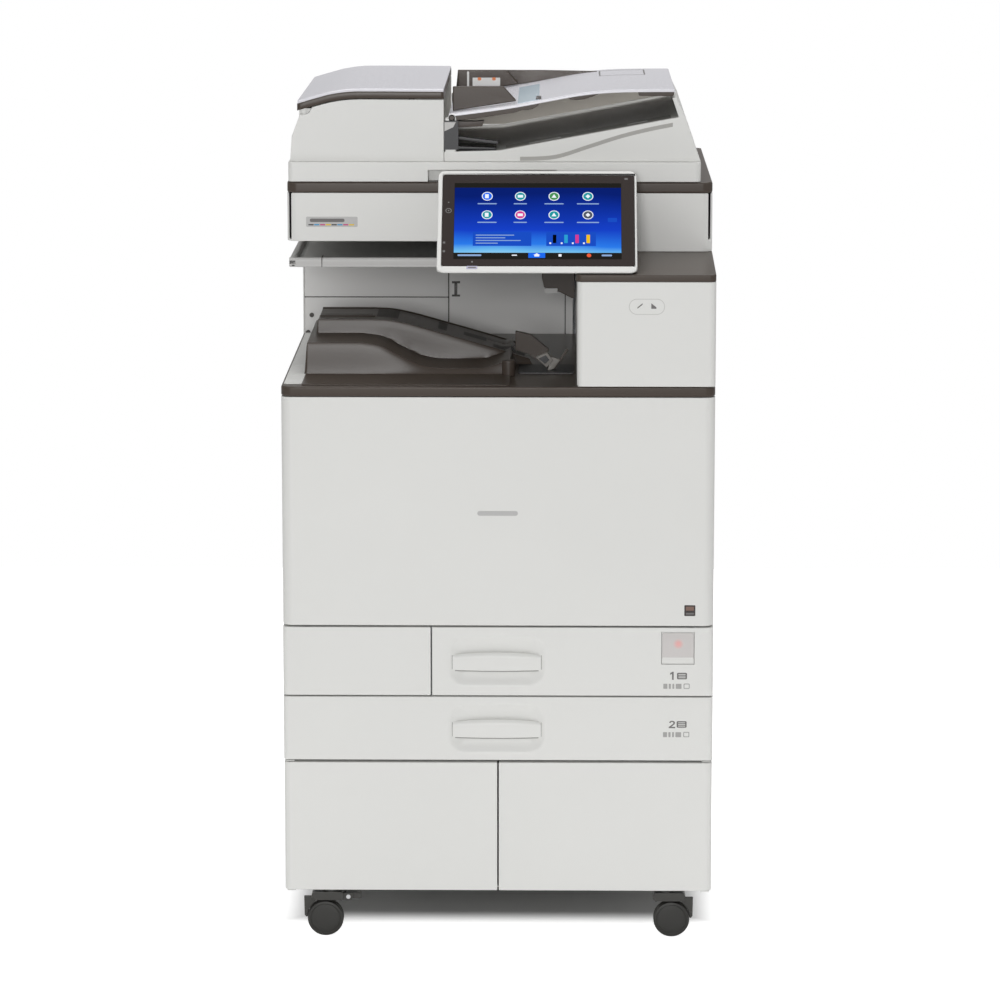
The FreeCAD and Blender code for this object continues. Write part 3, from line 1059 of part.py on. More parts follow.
faults = []
for thing in doc.Objects:
    if "Invalid" in thing.State or "Error" in thing.State:
        faults.append(f"{thing.Label}: {thing.State}")
for label, thing in NODES.items():
    if thing.Shape.isNull() or not thing.Shape.isValid() or not thing.Shape.Solids:
        faults.append(f"{label}: bad shape")
if faults:
    raise RuntimeError("; ".join(faults))

os.makedirs("parts", exist_ok=True)
for label, thing in NODES.items():
    thing.Shape.exportStep(f"parts/{label}.step")
print(len(NODES), "sub-parts written")
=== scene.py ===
"""Floor-standing photocopier: its visible pieces, finishes and studio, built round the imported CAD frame."""

import json
import math

import bmesh
import bpy
from bpy.props import FloatProperty, FloatVectorProperty, PointerProperty
from mathutils import Matrix, Vector

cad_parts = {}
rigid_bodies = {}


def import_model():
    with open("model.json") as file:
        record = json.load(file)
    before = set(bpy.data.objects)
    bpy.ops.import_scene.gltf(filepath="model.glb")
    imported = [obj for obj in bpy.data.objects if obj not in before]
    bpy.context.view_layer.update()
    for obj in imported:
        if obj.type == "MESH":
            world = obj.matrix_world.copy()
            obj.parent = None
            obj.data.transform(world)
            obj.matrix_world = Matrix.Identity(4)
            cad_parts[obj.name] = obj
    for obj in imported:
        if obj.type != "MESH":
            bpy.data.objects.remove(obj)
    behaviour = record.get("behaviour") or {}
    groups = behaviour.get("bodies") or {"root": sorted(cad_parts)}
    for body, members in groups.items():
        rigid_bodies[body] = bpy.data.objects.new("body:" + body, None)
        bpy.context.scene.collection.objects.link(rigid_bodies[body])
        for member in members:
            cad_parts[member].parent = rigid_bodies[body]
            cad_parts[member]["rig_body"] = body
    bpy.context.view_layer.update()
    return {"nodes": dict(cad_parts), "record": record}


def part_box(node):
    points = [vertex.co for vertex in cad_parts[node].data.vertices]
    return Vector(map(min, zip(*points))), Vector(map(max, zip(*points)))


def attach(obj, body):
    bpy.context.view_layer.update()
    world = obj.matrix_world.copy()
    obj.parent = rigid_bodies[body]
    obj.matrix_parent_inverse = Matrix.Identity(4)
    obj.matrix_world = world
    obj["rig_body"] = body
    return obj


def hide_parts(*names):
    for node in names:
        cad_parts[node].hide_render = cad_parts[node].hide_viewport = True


bl_info = {
    "name": "Photocopier",
    "version": (1, 0, 0),
    "blender": (4, 5, 0),
    "location": "3D View > Sidebar > Photocopier",
    "description": "Builds a floor-standing colour photocopier around its CAD frame",
    "category": "Object",
}

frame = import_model()

MM = 0.001
WELD = 0.01 * MM          # triangle corners nearer than this are one corner
FLAT = math.radians(0.4)  # faces that turn less than this are one face
SHARP = math.radians(28)  # an edge that turns more than this is an edge to the eye
SMOOTH = math.radians(32)  # faces that meet at less than this are shaded as one


# ---------------------------------------------------------------- sizes and colours

def linear(code):
    """The linear colour of an sRGB hex code such as "DDDDDB"."""
    parts = [int(code[i:i + 2], 16) / 255 for i in (0, 2, 4)]
    return tuple(p / 12.92 if p <= 0.04045 else ((p + 0.055) / 1.055) ** 2.4 for p in parts)


def colour(name, about, code):
    return FloatVectorProperty(name=name, description=about, subtype="COLOR", size=3, min=0, max=1,
                               default=linear(code))


def length(name, about, default):
    return FloatProperty(name=name, description=about, subtype="DISTANCE", unit="LENGTH", default=default,
                         min=0)


class CopierSizes(bpy.types.PropertyGroup):
    edge: length("Panel edge", "Radius of the broken edges of the moulded panels", 1.2 * MM)
    fine_edge: length("Fine edge", "Radius of the broken edges of small parts", 0.5 * MM)
    key_light: length("Key light", "Side of the large soft light above the front", 3.0)


class CopierColours(bpy.types.PropertyGroup):
    panel: colour("Panels", "Moulded outer panels", "DFDFDC")
    steel: colour("Cabinet", "Painted sheet steel of the cabinet", "DDDDDA")
    lid: colour("Feeder lid", "Glossy lid over the document path", "D6D5DB")
    trim: colour("Trim", "Brown trim bands and output deck", "483F38")
    inner: colour("Bay", "Grey mouldings inside the output bay", "DAD9D7")
    bezel: colour("Bezel", "Dark surround of the screen", "38312F")
    caster: colour("Casters", "Black nylon forks", "33322E")


# ---------------------------------------------------------------- materials

def add_node(tree, kind, settings=(), **links):
    """Adds a node; settings holds its values by attribute or socket, links its sockets' sources."""
    # A link named in_0 goes to the first socket, for nodes whose sockets share a name.
    node = tree.nodes.new(kind)
    for key, value in dict(settings).items():
        if hasattr(node, key):
            setattr(node, key, value)
        else:
            node.inputs[key].default_value = value
    for key, source in links.items():
        socket = int(key[3:]) if key.startswith("in_") else key.replace("_", " ")
        tree.links.new(source, node.inputs[socket])
    return node


def start_material(name, base, roughness, **more):
    """A material with its constant values on the shader; gives the material, its tree and its shader."""
    mat = bpy.data.materials.new(name)
    mat.use_nodes = True
    tree = mat.node_tree
    shader = tree.nodes["Principled BSDF"]
    shader.inputs["Base Color"].default_value = (*base, 1)
    shader.inputs["Roughness"].default_value = roughness
    for key, value in more.items():
        shader.inputs[key.replace("_", " ")].default_value = value
    return mat, tree, shader


def surface(name, base, roughness, grain=0.9 * MM, relief=0.02 * MM, drift=0.012, gloss=0.05, IOR=1.54,
            **more):
    """A finish with its grain (size and height in metres), a slow drift of tone, and one of gloss."""
    mat, tree, shader = start_material(name, base, roughness, IOR=IOR, **more)
    place = add_node(tree, "ShaderNodeTexCoord").outputs["Object"]
    fine = add_node(tree, "ShaderNodeTexNoise", {"Scale": 1 / grain, "Detail": 2.0, "Roughness": 0.6},
                    Vector=place)
    slow = add_node(tree, "ShaderNodeTexNoise", {"Scale": 3.0, "Detail": 3.0, "Roughness": 0.55},
                    Vector=place)
    tone = add_node(tree, "ShaderNodeMapRange",
                    {"From Min": 0.3, "From Max": 0.7, "To Min": 1 - drift, "To Max": 1 + drift},
                    Value=slow.outputs["Fac"])
    tint = add_node(tree, "ShaderNodeVectorMath", {"operation": "SCALE"}, Scale=tone.outputs["Result"])
    tint.inputs[0].default_value = base
    tree.links.new(tint.outputs["Vector"], shader.inputs["Base Color"])
    shine = add_node(tree, "ShaderNodeMapRange",
                     {"From Min": 0.25, "From Max": 0.75, "To Min": roughness - gloss,
                      "To Max": roughness + gloss}, Value=fine.outputs["Fac"])
    tree.links.new(shine.outputs["Result"], shader.inputs["Roughness"])
    bump = add_node(tree, "ShaderNodeBump", {"Strength": 1.0, "Distance": relief}, Height=fine.outputs["Fac"])
    tree.links.new(bump.outputs["Normal"], shader.inputs["Normal"])
    return mat


def painted_glow_lens(name, base, glow):
    """Frosted polycarbonate with a painted glow: a soft lighter spot in its base colour, spreading from near
    its middle, stands in for a lamp behind it and gives no light.
    """
    low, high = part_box("switch_flap")
    mat, tree, shader = start_material(name, base, 0.16, IOR=1.58, Coat_Weight=0.4)
    place = add_node(tree, "ShaderNodeTexCoord").outputs["Object"]
    spot = add_node(tree, "ShaderNodeMapping",
                    {"Location": tuple(-(low + high) / 2 - Vector((0.0006, 0, 0.004))),
                     "vector_type": "POINT"}, Vector=place)
    far = add_node(tree, "ShaderNodeVectorMath", {"operation": "LENGTH"}, in_0=spot.outputs["Vector"])
    near = add_node(tree, "ShaderNodeMapRange",
                    {"interpolation_type": "SMOOTHSTEP", "From Min": 0.002, "From Max": 0.0090, "To Min": 1.0,
                     "To Max": 0.0}, Value=far.outputs["Value"])
    ramp = add_node(tree, "ShaderNodeValToRGB", Fac=near.outputs["Result"])
    ramp.color_ramp.elements[0].color = (*base, 1)
    ramp.color_ramp.elements[1].color = (*glow, 1)
    tree.links.new(ramp.outputs["Color"], shader.inputs["Base Color"])
    return mat


def screen_picture():
    """A lit display picture: deep blue that brightens downward, with a pale wave near its lower edge."""
    mat, tree, shader = start_material("display_blue_picture", linear("000208"), 0.3, Specular_IOR_Level=0.0)
    place = add_node(tree, "ShaderNodeUVMap", {"uv_map": "UVMap"}).outputs["UV"]
    split = add_node(tree, "ShaderNodeSeparateXYZ", Vector=place)
    bend = add_node(tree, "ShaderNodeTexNoise", {"Scale": 1.6, "Detail": 1.0}, Vector=place)
    wave = add_node(tree, "ShaderNodeMath", {"operation": "MULTIPLY_ADD"}, in_0=bend.outputs["Fac"],
                    in_2=split.outputs["Y"])
    wave.inputs[1].default_value = 0.22
    ramp = add_node(tree, "ShaderNodeValToRGB", Fac=wave.outputs["Value"])
    stops = ((0.0, "BFE6F5"), (0.13, "6FBDF0"), (0.22, "2C7BEA"), (0.45, "1740C6"), (0.8, "0E2C96"),
             (1.0, "0A1F70"))
    points = ramp.color_ramp.elements
    while len(points) < len(stops):
        points.new(0.5)
    for point, (at, code) in zip(points, stops):
        point.position = at
        point.color = (*linear(code), 1)
    tree.links.new(ramp.outputs["Color"], shader.inputs["Emission Color"])
    shader.inputs["Emission Strength"].default_value = 1.0
    return mat


MATERIALS = {}


def make_materials(colours):
    """Makes every finish once. A key is the record's material slot or a finish of a small piece."""
    m = MATERIALS

    # ABS, moulded in a spark-eroded tool: matt and even, with a grain of under a millimetre.
    m["white_panel"] = surface("abs_spark_textured_white", colours.panel, 0.42)
    # Powder coat on sheet steel: a slow orange-peel ripple of some millimetres.
    m["white_steel"] = surface("powder_coated_steel_white", colours.steel, 0.38, 2.5 * MM, 0.03 * MM, 0.01,
                               0.04, IOR=1.5)
    m["brown_trim"] = surface("abs_spark_textured_brown", colours.trim, 0.32, relief=0.015 * MM, drift=0.04,
                              gloss=0.04, Specular_IOR_Level=0.3)
    m["grey_inner"] = surface("abs_spark_textured_grey", colours.inner, 0.45, drift=0.03)
    m["lid_white"] = surface("abs_satin_moulded_white", colours.lid, 0.27, relief=0.006 * MM)
    m["dark_plastic"] = surface("abs_satin_moulded_dark", colours.bezel, 0.3, relief=0.01 * MM, drift=0.05)
    # Zinc-plated sheet: fine bright spangle with a cool cast.
    m["frame_steel"] = surface("zinc_plated_sheet", linear("A9ABAD"), 0.34, 3 * MM, 0.008 * MM, 0.08, 0.08,
                               IOR=1.5, Metallic=1.0)
    m["chrome_pin"] = surface("ground_steel_shaft", linear("C4C5C6"), 0.2, 0.6 * MM, 0.002 * MM, 0.03, 0.04,
                              IOR=1.5, Metallic=1.0)
    m["caster_black"] = surface("nylon_glass_filled_black", colours.caster, 0.42, grain=1.2 * MM, drift=0.08)
    # Polyurethane tread: smooth when new, dulled by dust.
    m["wheel_rubber"] = surface("polyurethane_tread", linear("24231F"), 0.5, grain=1.5 * MM, drift=0.12)
    m["roller_rubber"] = surface("epdm_rubber_ground", linear("35363A"), 0.75, grain=0.5 * MM,
                                 relief=0.04 * MM, drift=0.1)
    m["glass"] = start_material("float_glass", (0.86, 0.93, 0.91), 0.02, IOR=1.52, Transmission_Weight=0.9)[0]
    m["screen"] = surface("glass_over_lcd", linear("0C2F86"), 0.12, relief=0.0, drift=0.02, gloss=0.02)
    m["sponge"] = surface("pad_sheet_white", linear("F0F0EC"), 0.7, grain=0.6 * MM, relief=0.03 * MM)
    # Painted glow: a lighter pink spot in the lens colour stands in for a lit lamp behind it.
    m["switch_lens"] = painted_glow_lens("polycarbonate_frosted_painted_glow", linear("CBC7C5"), linear("EAA9A5"))
    for name, code in (("yellow", "E3C21A"), ("magenta", "C23A7A"), ("cyan", "2F8FC0"), ("black", "2B2B2B")):
        m["toner_" + name] = surface("polypropylene_" + name, linear(code), 0.35, drift=0.03)
    m["bezel_gloss"] = surface("abs_gloss_dark", colours.bezel, 0.3, relief=0.002 * MM, drift=0.05,
                               gloss=0.03, IOR=1.5, Specular_IOR_Level=0.05)
    # Small ABS mouldings: the same spark-textured finish, in their own tones, except that the dark slot tone
    # and the groove, gap and cove tones are painted shade: flat darker strips laid in slots, seams, gaps and
    # coves where shade would fall. The beige-grey wall tone is painted shade too, for the shaded space behind
    # the document tray.
    for slot, name, code, roughness, drift in (
            ("painted_seam_shade", "painted_slot_shade_dark", "3A3531", 0.5, 0.012),
            ("grey_light", "abs_spark_textured_light_grey", "BEBDBB", 0.4, 0.02),
            ("grey_dark", "abs_spark_textured_mid_grey", "7E7973", 0.38, 0.03),
            ("shade_line", "painted_groove_shade", "C4C3C0", 0.5, 0.012),
            ("shade_deep", "painted_gap_shade", "8E8D8A", 0.5, 0.012),
            ("shade_soft", "painted_cove_shade", "A8A6A2", 0.5, 0.012),
            ("painted_shade_wall", "painted_shade_beige_grey_wall", "C9C3BA", 0.45, 0.02),
            ("engine_black", "abs_moulded_black", "232326", 0.4, 0.08)):
        m[slot] = surface(name, linear(code), roughness, drift=drift)
    # Inks, foils and films laid on the panels: smooth, with no grain of their own.
    for slot, name, code, roughness in (
            ("print_light", "screen_print_light_grey", "A3A2A0", 0.5),
            ("print_orange", "screen_print_orange", "E3824A", 0.5),
            ("film_blue", "polyester_film_blue", "C3D6E2", 0.15),
            ("lens_lilac", "polycarbonate_lilac", "B9B6CE", 0.2),
            ("print_grey", "screen_print_grey", "6B6968", 0.5),
            ("print_brown", "screen_print_brown", "7A5E52", 0.5),
            ("plate_silver", "hot_foil_silver", "B9B8B7", 0.3)):
        m[slot] = surface(name, linear(code), roughness, relief=0.0)
    m["screen_picture"] = screen_picture()
    # Lit pixels of a liquid-crystal display under glass: even colour, each with its own brightness.
    for name, code, power in (("white", "F2F7FF", 1.0), ("box", "1E56D8", 0.8), ("pale", "9FC0F0", 0.8),
                              ("cyan", "2FA8DC", 0.9), ("pink", "E0409A", 0.9), ("black", "101014", 0.2),
                              ("blue", "1F6AF0", 1.0), ("red", "F0603A", 1.0), ("yellow", "F2C21C", 1.0),
                              ("teal", "1F9FA8", 0.9), ("green", "4F9A5A", 0.9), ("grey", "5A5F6B", 0.8)):
        m["lit_" + name] = start_material("display_" + name, linear("000208"), 0.3, Specular_IOR_Level=0.0,
                                          Emission_Color=(*linear(code), 1), Emission_Strength=power)[0]
    # The unlit border of the display.
    m["screen_black"] = start_material("display_black", linear("23221F"), 0.3, Specular_IOR_Level=0.0)[0]


# ---------------------------------------------------------------- shaping

def copy_of(node):
    """A bmesh of a CAD node, its loose triangles joined into whole faces."""
    bm = bmesh.new()
    bm.from_mesh(frame["nodes"][node].data)
    bmesh.ops.remove_doubles(bm, verts=bm.verts, dist=WELD)
    bmesh.ops.dissolve_limit(bm, angle_limit=FLAT, use_dissolve_boundaries=False, verts=bm.verts,
                             edges=bm.edges, delimit={"NORMAL"})
    return bm


def bevel(bm, edges, width, segments, **more):
    """Rounds the given edges by a width in metres."""
    bmesh.ops.bevel(bm, geom=edges, offset=width, offset_type="OFFSET", segments=segments, profile=0.5,
                    affect="EDGES", material=-1, **more)


def front_corners(bm, y, tall):
    """The upright edges in front of a level of y that are taller than a height (mm)."""
    return [e for e in bm.edges if all(v.co.y < y * MM for v in e.verts)
            and abs(e.verts[0].co.z - e.verts[1].co.z) > tall * MM]


def break_edges(bm, width, segments=2, test=None):
    """Rounds the sharp edges by a small radius."""
    edges = [e for e in bm.edges if e.is_manifold and e.calc_face_angle(0) > SHARP
             and (test is None or test(e))]
    if edges and width > 0:
        bevel(bm, edges, width, segments, clamp_overlap=False, loop_slide=True)


def piece(name, bm, slots, body, nodes=()):
    """Turns a bmesh into a finished object that rides on a body and stands for CAD nodes."""
    slots = [slots] if isinstance(slots, str) else list(slots)
    mesh = bpy.data.meshes.new(name)
    bm.to_mesh(mesh)
    bm.free()
    mesh.polygons.foreach_set("use_smooth", [True] * len(mesh.polygons))
    mesh.set_sharp_from_angle(angle=SMOOTH)
    obj = bpy.data.objects.new(name, mesh)
    bpy.context.scene.collection.objects.link(obj)
    for key in slots:
        mesh.materials.append(MATERIALS[key])
    even = obj.modifiers.new("even_normals", "WEIGHTED_NORMAL")
    even.keep_sharp = True
    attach(obj, body)
    if nodes:
        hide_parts(*nodes)
    return obj


def box_mm(node):
    """Lowest and highest corner of a CAD node at rest (mm)."""
    return [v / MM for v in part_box(node)]


def corners(low, high):
    """Middle and size of a box given by its low and high corner in millimetres."""
    low, high = Vector(low) * MM, Vector(high) * MM
    return (low + high) / 2, high - low


def slab(low, high, axis="z", radius=0.0, segments=6, break_width=0.0):
    """A box between two corners (mm), its four edges along an axis rounded, then all edges broken."""
    middle, size = corners(low, high)
    bm = bmesh.new()
    bmesh.ops.create_cube(bm, size=1)
    bmesh.ops.scale(bm, vec=size, verts=bm.verts)
    bmesh.ops.translate(bm, vec=middle, verts=bm.verts)
    if radius:
        way = "xyz".index(axis)
        edges = [e for e in bm.edges if abs((e.verts[1].co - e.verts[0].co)[way]) > 0.5 * size[way]]
        bevel(bm, edges, radius * MM, segments)
    break_edges(bm, break_width * MM)
    return bm


def prism(points, low, high, axis="y", break_width=0.0, segments=2):
    """Pushes a closed outline (mm, in the axis's own plane) from one level to another."""
    def place(a, b, level):
        return Vector({"x": (level, a, b), "y": (a, level, b), "z": (a, b, level)}[axis]) * MM
    bm = bmesh.new()
    face = bm.faces.new([bm.verts.new(place(a, b, low)) for a, b in points])
    pushed = bmesh.ops.extrude_face_region(bm, geom=[face])
    shift = place(0, 0, high) - place(0, 0, low)
    bmesh.ops.translate(bm, vec=shift, verts=[v for v in pushed["geom"] if isinstance(v, bmesh.types.BMVert)])
    bmesh.ops.recalc_face_normals(bm, faces=bm.faces)
    break_edges(bm, break_width * MM, segments)
    return bm


def turned(profile, centre, axis, steps=48):
    """Spins a profile of (radius, height) points in millimetres round an axis through a centre."""
    bm = bmesh.new()
    verts = [bm.verts.new(Vector((r, 0, h)) * MM) for r, h in profile]
    edges = [bm.edges.new(pair) for pair in zip(verts, verts[1:])]
    bmesh.ops.spin(bm, geom=verts + edges, axis=(0, 0, 1), cent=(0, 0, 0), angle=math.tau, steps=steps,
                   use_merge=True)
    bmesh.ops.remove_doubles(bm, verts=bm.verts, dist=WELD)
    bmesh.ops.recalc_face_normals(bm, faces=bm.faces)
    turn = {"x": Matrix.Rotation(math.pi / 2, 4, "Y"), "y": Matrix.Rotation(-math.pi / 2, 4, "X"),
            "z": Matrix.Identity(4)}[axis]
    bmesh.ops.transform(bm, matrix=Matrix.Translation(Vector(centre) * MM) @ turn, verts=bm.verts)
    return bm


def rod(radius, length, centre, axis, steps=24):
    """A plain round bar (mm) that starts at a centre and runs along an axis."""
    return turned([(0, 0), (radius, 0), (radius, length), (0, length)], centre, axis, steps)


def mark(x0, x1, z0, z1, y, proud, radius=0.0, segments=3, sunk=0.3):
    """A thin plate (mm) let into a face that looks forward at a level of y, standing a little proud of it."""
    return slab((x0, y - proud, z0), (x1, y + sunk, z1), "y", radius, segments)


def add(main, part, finish=0):
    """Adds one shape to another, its faces in the given material slot."""
    for face in part.faces:
        face.material_index = finish
    mesh = bpy.data.meshes.new("part")
    part.to_mesh(mesh)
    part.free()
    main.from_mesh(mesh)
    bpy.data.meshes.remove(mesh)
    return main


def assembled(*parts):
    """Joins shapes, each given alone or with its material slot."""
    main = bmesh.new()
    for part in parts:
        add(main, *part) if isinstance(part, tuple) else add(main, part)
    return main


def eased(value):
    """A smooth step from 0 to 1."""
    value = min(max(value, 0.0), 1.0)
    return value * value * (3 - 2 * value)


def along_points(points, x):
    """Height of a smooth line through (x, height) points, level beyond its ends."""
    x = min(max(x, points[0][0]), points[-1][0])
    rises = [(z1 - z0) / (x1 - x0) for (x0, z0), (x1, z1) in zip(points, points[1:])]
    bends = [rises[0], *[(a + b) / 2 if a * b > 0 else 0.0 for a, b in zip(rises, rises[1:])], rises[-1]]
    for index, ((x0, z0), (x1, z1)) in enumerate(zip(points, points[1:])):
        if x <= x1:
            wide = x1 - x0
            t = (x - x0) / wide
            return ((1 + 2 * t) * (1 - t) ** 2 * z0 + t * (1 - t) ** 2 * wide * bends[index]
                    + t * t * (3 - 2 * t) * z1 - t * t * (1 - t) * wide * bends[index + 1])
    return points[-1][1]


def field(across, along, place):
    """A grid of lines at the given steps across and along, each crossing put where place(a, b) says (mm)."""
    bm = bmesh.new()
    wide, long = len(across) - 1, len(along) - 1
    bmesh.ops.create_grid(bm, x_segments=wide, y_segments=long, size=0.5)
    for vert in bm.verts:
        a = across[round((vert.co.x + 0.5) * wide)]
        b = along[round((vert.co.y + 0.5) * long)]
        vert.co = Vector(place(a, b)) * MM
    return bm


def steps(low, high, pitch):
    """Even steps from low to high, as near to a pitch as they come."""
    count = max(1, round((high - low) / pitch))
    return [low + (high - low) * i / count for i in range(count + 1)]


def facing(bm, way):
    """Turns an open surface's faces to look along a way."""
    bmesh.ops.recalc_face_normals(bm, faces=bm.faces)
    if sum(f.normal.dot(Vector(way)) for f in bm.faces) < 0:
        bmesh.ops.reverse_faces(bm, faces=bm.faces)
    return bm


def patch(x0, x1, y0, y1, height, lift, thick=0.6):
    """A thin plate draped over a surface whose height (mm) is a function of x."""
    top = facing(field(steps(x0, x1, 6), [y0, y1], lambda x, y: (x, y, height(x) + lift)), (0, 0, 1))
    return skirted(top, (0, 0, -thick))


def ribbon(points, width, y, thick=0.5):
    """A thin band along a smooth line on a face that looks forward at a level of y (mm)."""
    xs = steps(points[0][0], points[-1][0], 5)
    front = facing(field(xs, [-width / 2, width / 2], lambda x, t: (x, y, along_points(points, x) + t)),
                   (0, -1, 0))
    return skirted(front, (0, thick, 0))


def skirted(bm, shift):
    """Pushes the open border of a surface by a shift (mm), which gives it its side walls."""
    border = [e for e in bm.edges if e.is_boundary]
    pushed = bmesh.ops.extrude_edge_only(bm, edges=border)["geom"]
    verts = [v for v in pushed if isinstance(v, bmesh.types.BMVert)]
    bmesh.ops.translate(bm, vec=Vector(shift) * MM, verts=verts)
    return bm


def round_inside(x, z, middle, half, radius):
    """Distance (mm) inward from the border of a rounded rectangle; below zero outside it."""
    dx = abs(x - middle[0]) - (half[0] - radius)
    dz = abs(z - middle[1]) - (half[1] - radius)
    if dx > 0 and dz > 0:
        return radius - math.hypot(dx, dz)
    return min(radius - dx, radius - dz)


def slot_of(node):
    """The record's material slot that holds a node."""
    for entry in frame["record"]["subparts"]:
        if entry["node"] == node:
            return entry["material_slot"]
    raise RuntimeError("no material slot holds " + node)


def body_of(node):
    """The CAD body that a node rides on."""
    return frame["nodes"][node]["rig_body"]


def refinish(node, width, segments=2):
    """Rebuilds a CAD node as a piece with broken edges in its own slot's finish."""
    bm = copy_of(node)
    break_edges(bm, width, segments)
    slot = slot_of(node)
    return piece(node + "_piece", bm, slot, body_of(node), (node,))


def repaint(node):
    """Keeps a hidden CAD node's mesh and gives it its slot's finish."""
    obj = frame["nodes"][node]
    obj.data.materials.clear()
    obj.data.materials.append(MATERIALS[slot_of(node)])


# ---------------------------------------------------------------- operators: one for each piece or group

class PHOTOCOPIER_OT_finishes(bpy.types.Operator):
    """Makes every finish and gives it to the inner parts"""
    bl_idname = "photocopier.finishes"
    bl_label = "Finishes"
    bl_options = {"REGISTER", "UNDO"}

    def execute(self, context):
        make_materials(context.scene.copier_colours)
        for node in frame["nodes"]:
            repaint(node)
        return {"FINISHED"}


PANELS = ("cabinet_shell", "cabinet_door_left", "cabinet_door_right", "left_cover", "right_cover",
          "rear_cover", "left_front_panel", "front_cover", "side_door", "bypass_tray", "scanner_base",
          "feeder_base", "column_cover")
SMALL_PARTS = ("power_inlet", "switch_housing", "power_button", "panel_arm", "feeder_hinges", "inner_cover",
               "tray1_bin", "tray2_bin", "caster_plates", "feed_roller", "mirror_carriage", "lamp_carriage",
               "print_engine")


class PHOTOCOPIER_OT_panels(bpy.types.Operator):
    """Builds the moulded covers, frames and bins from their CAD shapes, with broken edges"""
    bl_idname = "photocopier.panels"
    bl_label = "Covers and frames"
    bl_options = {"REGISTER", "UNDO"}

    def execute(self, context):
        sizes = context.scene.copier_sizes
        for node in PANELS:
            refinish(node, sizes.edge)
        for node in SMALL_PARTS:
            refinish(node, sizes.fine_edge)
        return {"FINISHED"}


class PHOTOCOPIER_OT_casters(bpy.types.Operator):
    """Builds the four casters: hooded fork, wheel with its hub, and the foot brake"""
    bl_idname = "photocopier.casters"
    bl_label = "Casters"
    bl_options = {"REGISTER", "UNDO"}

    def execute(self, context):
        for where in ("front_left", "front_right", "rear_left", "rear_right"):
            low, high = box_mm("caster_wheel_" + where)
            x, y, r = (low.x + high.x) / 2, (low.y + high.y) / 2, (high.z - low.z) / 2
            half = (high.y - low.y) / 2
            profile = [(0, 3.2), (r - 1.5, 3.2), (r, 4.6), (r, half - 3.4), (r - 1.2, half - 1.4),
                       (r - 4, half - 0.7), (r - 5, half - 1.3), (r - 6, half - 0.7), (r - 12, half - 0.2),
                       (0, half)]
            wheel = assembled(turned(profile, (x, y, r), "y", 64),
                              turned([(a, -b) for a, b in profile], (x, y, r), "y", 64))
            piece("caster_tread_" + where, wheel, "wheel_rubber", body_of("caster_wheel_" + where),
                  ("caster_wheel_" + where,))
            top = 2 * r + 2
            outline = [(-30, top + 3), (-29.5, r + 3), (-27, r), (-25.2, r + 1), (-23, r + 12), (-13, r + 24),
                       (0, 2 * r + 1), (14, 2 * r + 1), (22, top - 4), (26, top + 3)]
            web = prism(outline, y - 2.6, y + 2.6, "y", 0.8)
            crown = slab((-19, y - half - 4.3, top), (26, y + half + 4.3, top + 12), "y", 5, 4, 0.8)
            boss = turned([(6.05, top + 8), (13, top + 8), (13, 71), (12, 71.6), (6.05, 71.6),
                           (6.05, top + 8)], (8, y, 0), "z")
            parts = [crown, boss, web]
            if where == "front_left":
                for near in (y - 12.5, y + 9.5):
                    parts.append(slab((14, near, 52), (38, near + 3, 62), "y", 3, 3, 0.4))
                parts.append((rod(3, 26, (32, y - 13, 57), "y"), 1))
            hood = assembled(*parts)
            side = -1 if x > 0 else 1
            place = Matrix.Translation((x * MM, 0, 0)) @ Matrix.Diagonal((side, 1, 1, 1))
            bmesh.ops.transform(hood, matrix=place, verts=hood.verts)
            if side < 0:
                bmesh.ops.reverse_faces(hood, faces=hood.faces)
            piece("caster_hood_" + where, hood, ("caster_black", "chrome_pin"),
                  body_of("caster_fork_" + where), ("caster_fork_" + where,))
        low, high = box_mm("brake_lever_front_left")
        pedal = slab(low, high, "y", 2.5, 4, 0.5)
        for step in range(4):
            rib = high.x - 3 - 3 * step
            add(pedal, slab((rib - 1, low.y + 1, high.z - 0.4), (rib, high.y - 1, high.z + 0.5), "y", 0.3, 2))
        piece("brake_pedal", pedal, "caster_black", "brake_lever", ("brake_lever_front_left",))
        return {"FINISHED"}


# Outlines (mm) of the two drawer digits, from the lower left corner.
ONE = [(2.6, 0), (4.9, 0), (4.9, 11.2), (3.2, 11.2), (0, 9.2), (0, 6.9), (2.6, 8.5)]
TWO = [(0, 0), (8.8, 0), (8.8, 1.9), (3.4, 1.9), (7.6, 5.2), (8.6, 7.4), (7.6, 9.6), (4.6, 10.5), (1.6, 9.7),
       (0.3, 7.6), (2.3, 7.0), (3.2, 8.4), (4.6, 8.8), (6.0, 8.3), (6.4, 7.2), (5.8, 5.9), (0, 1.6)]


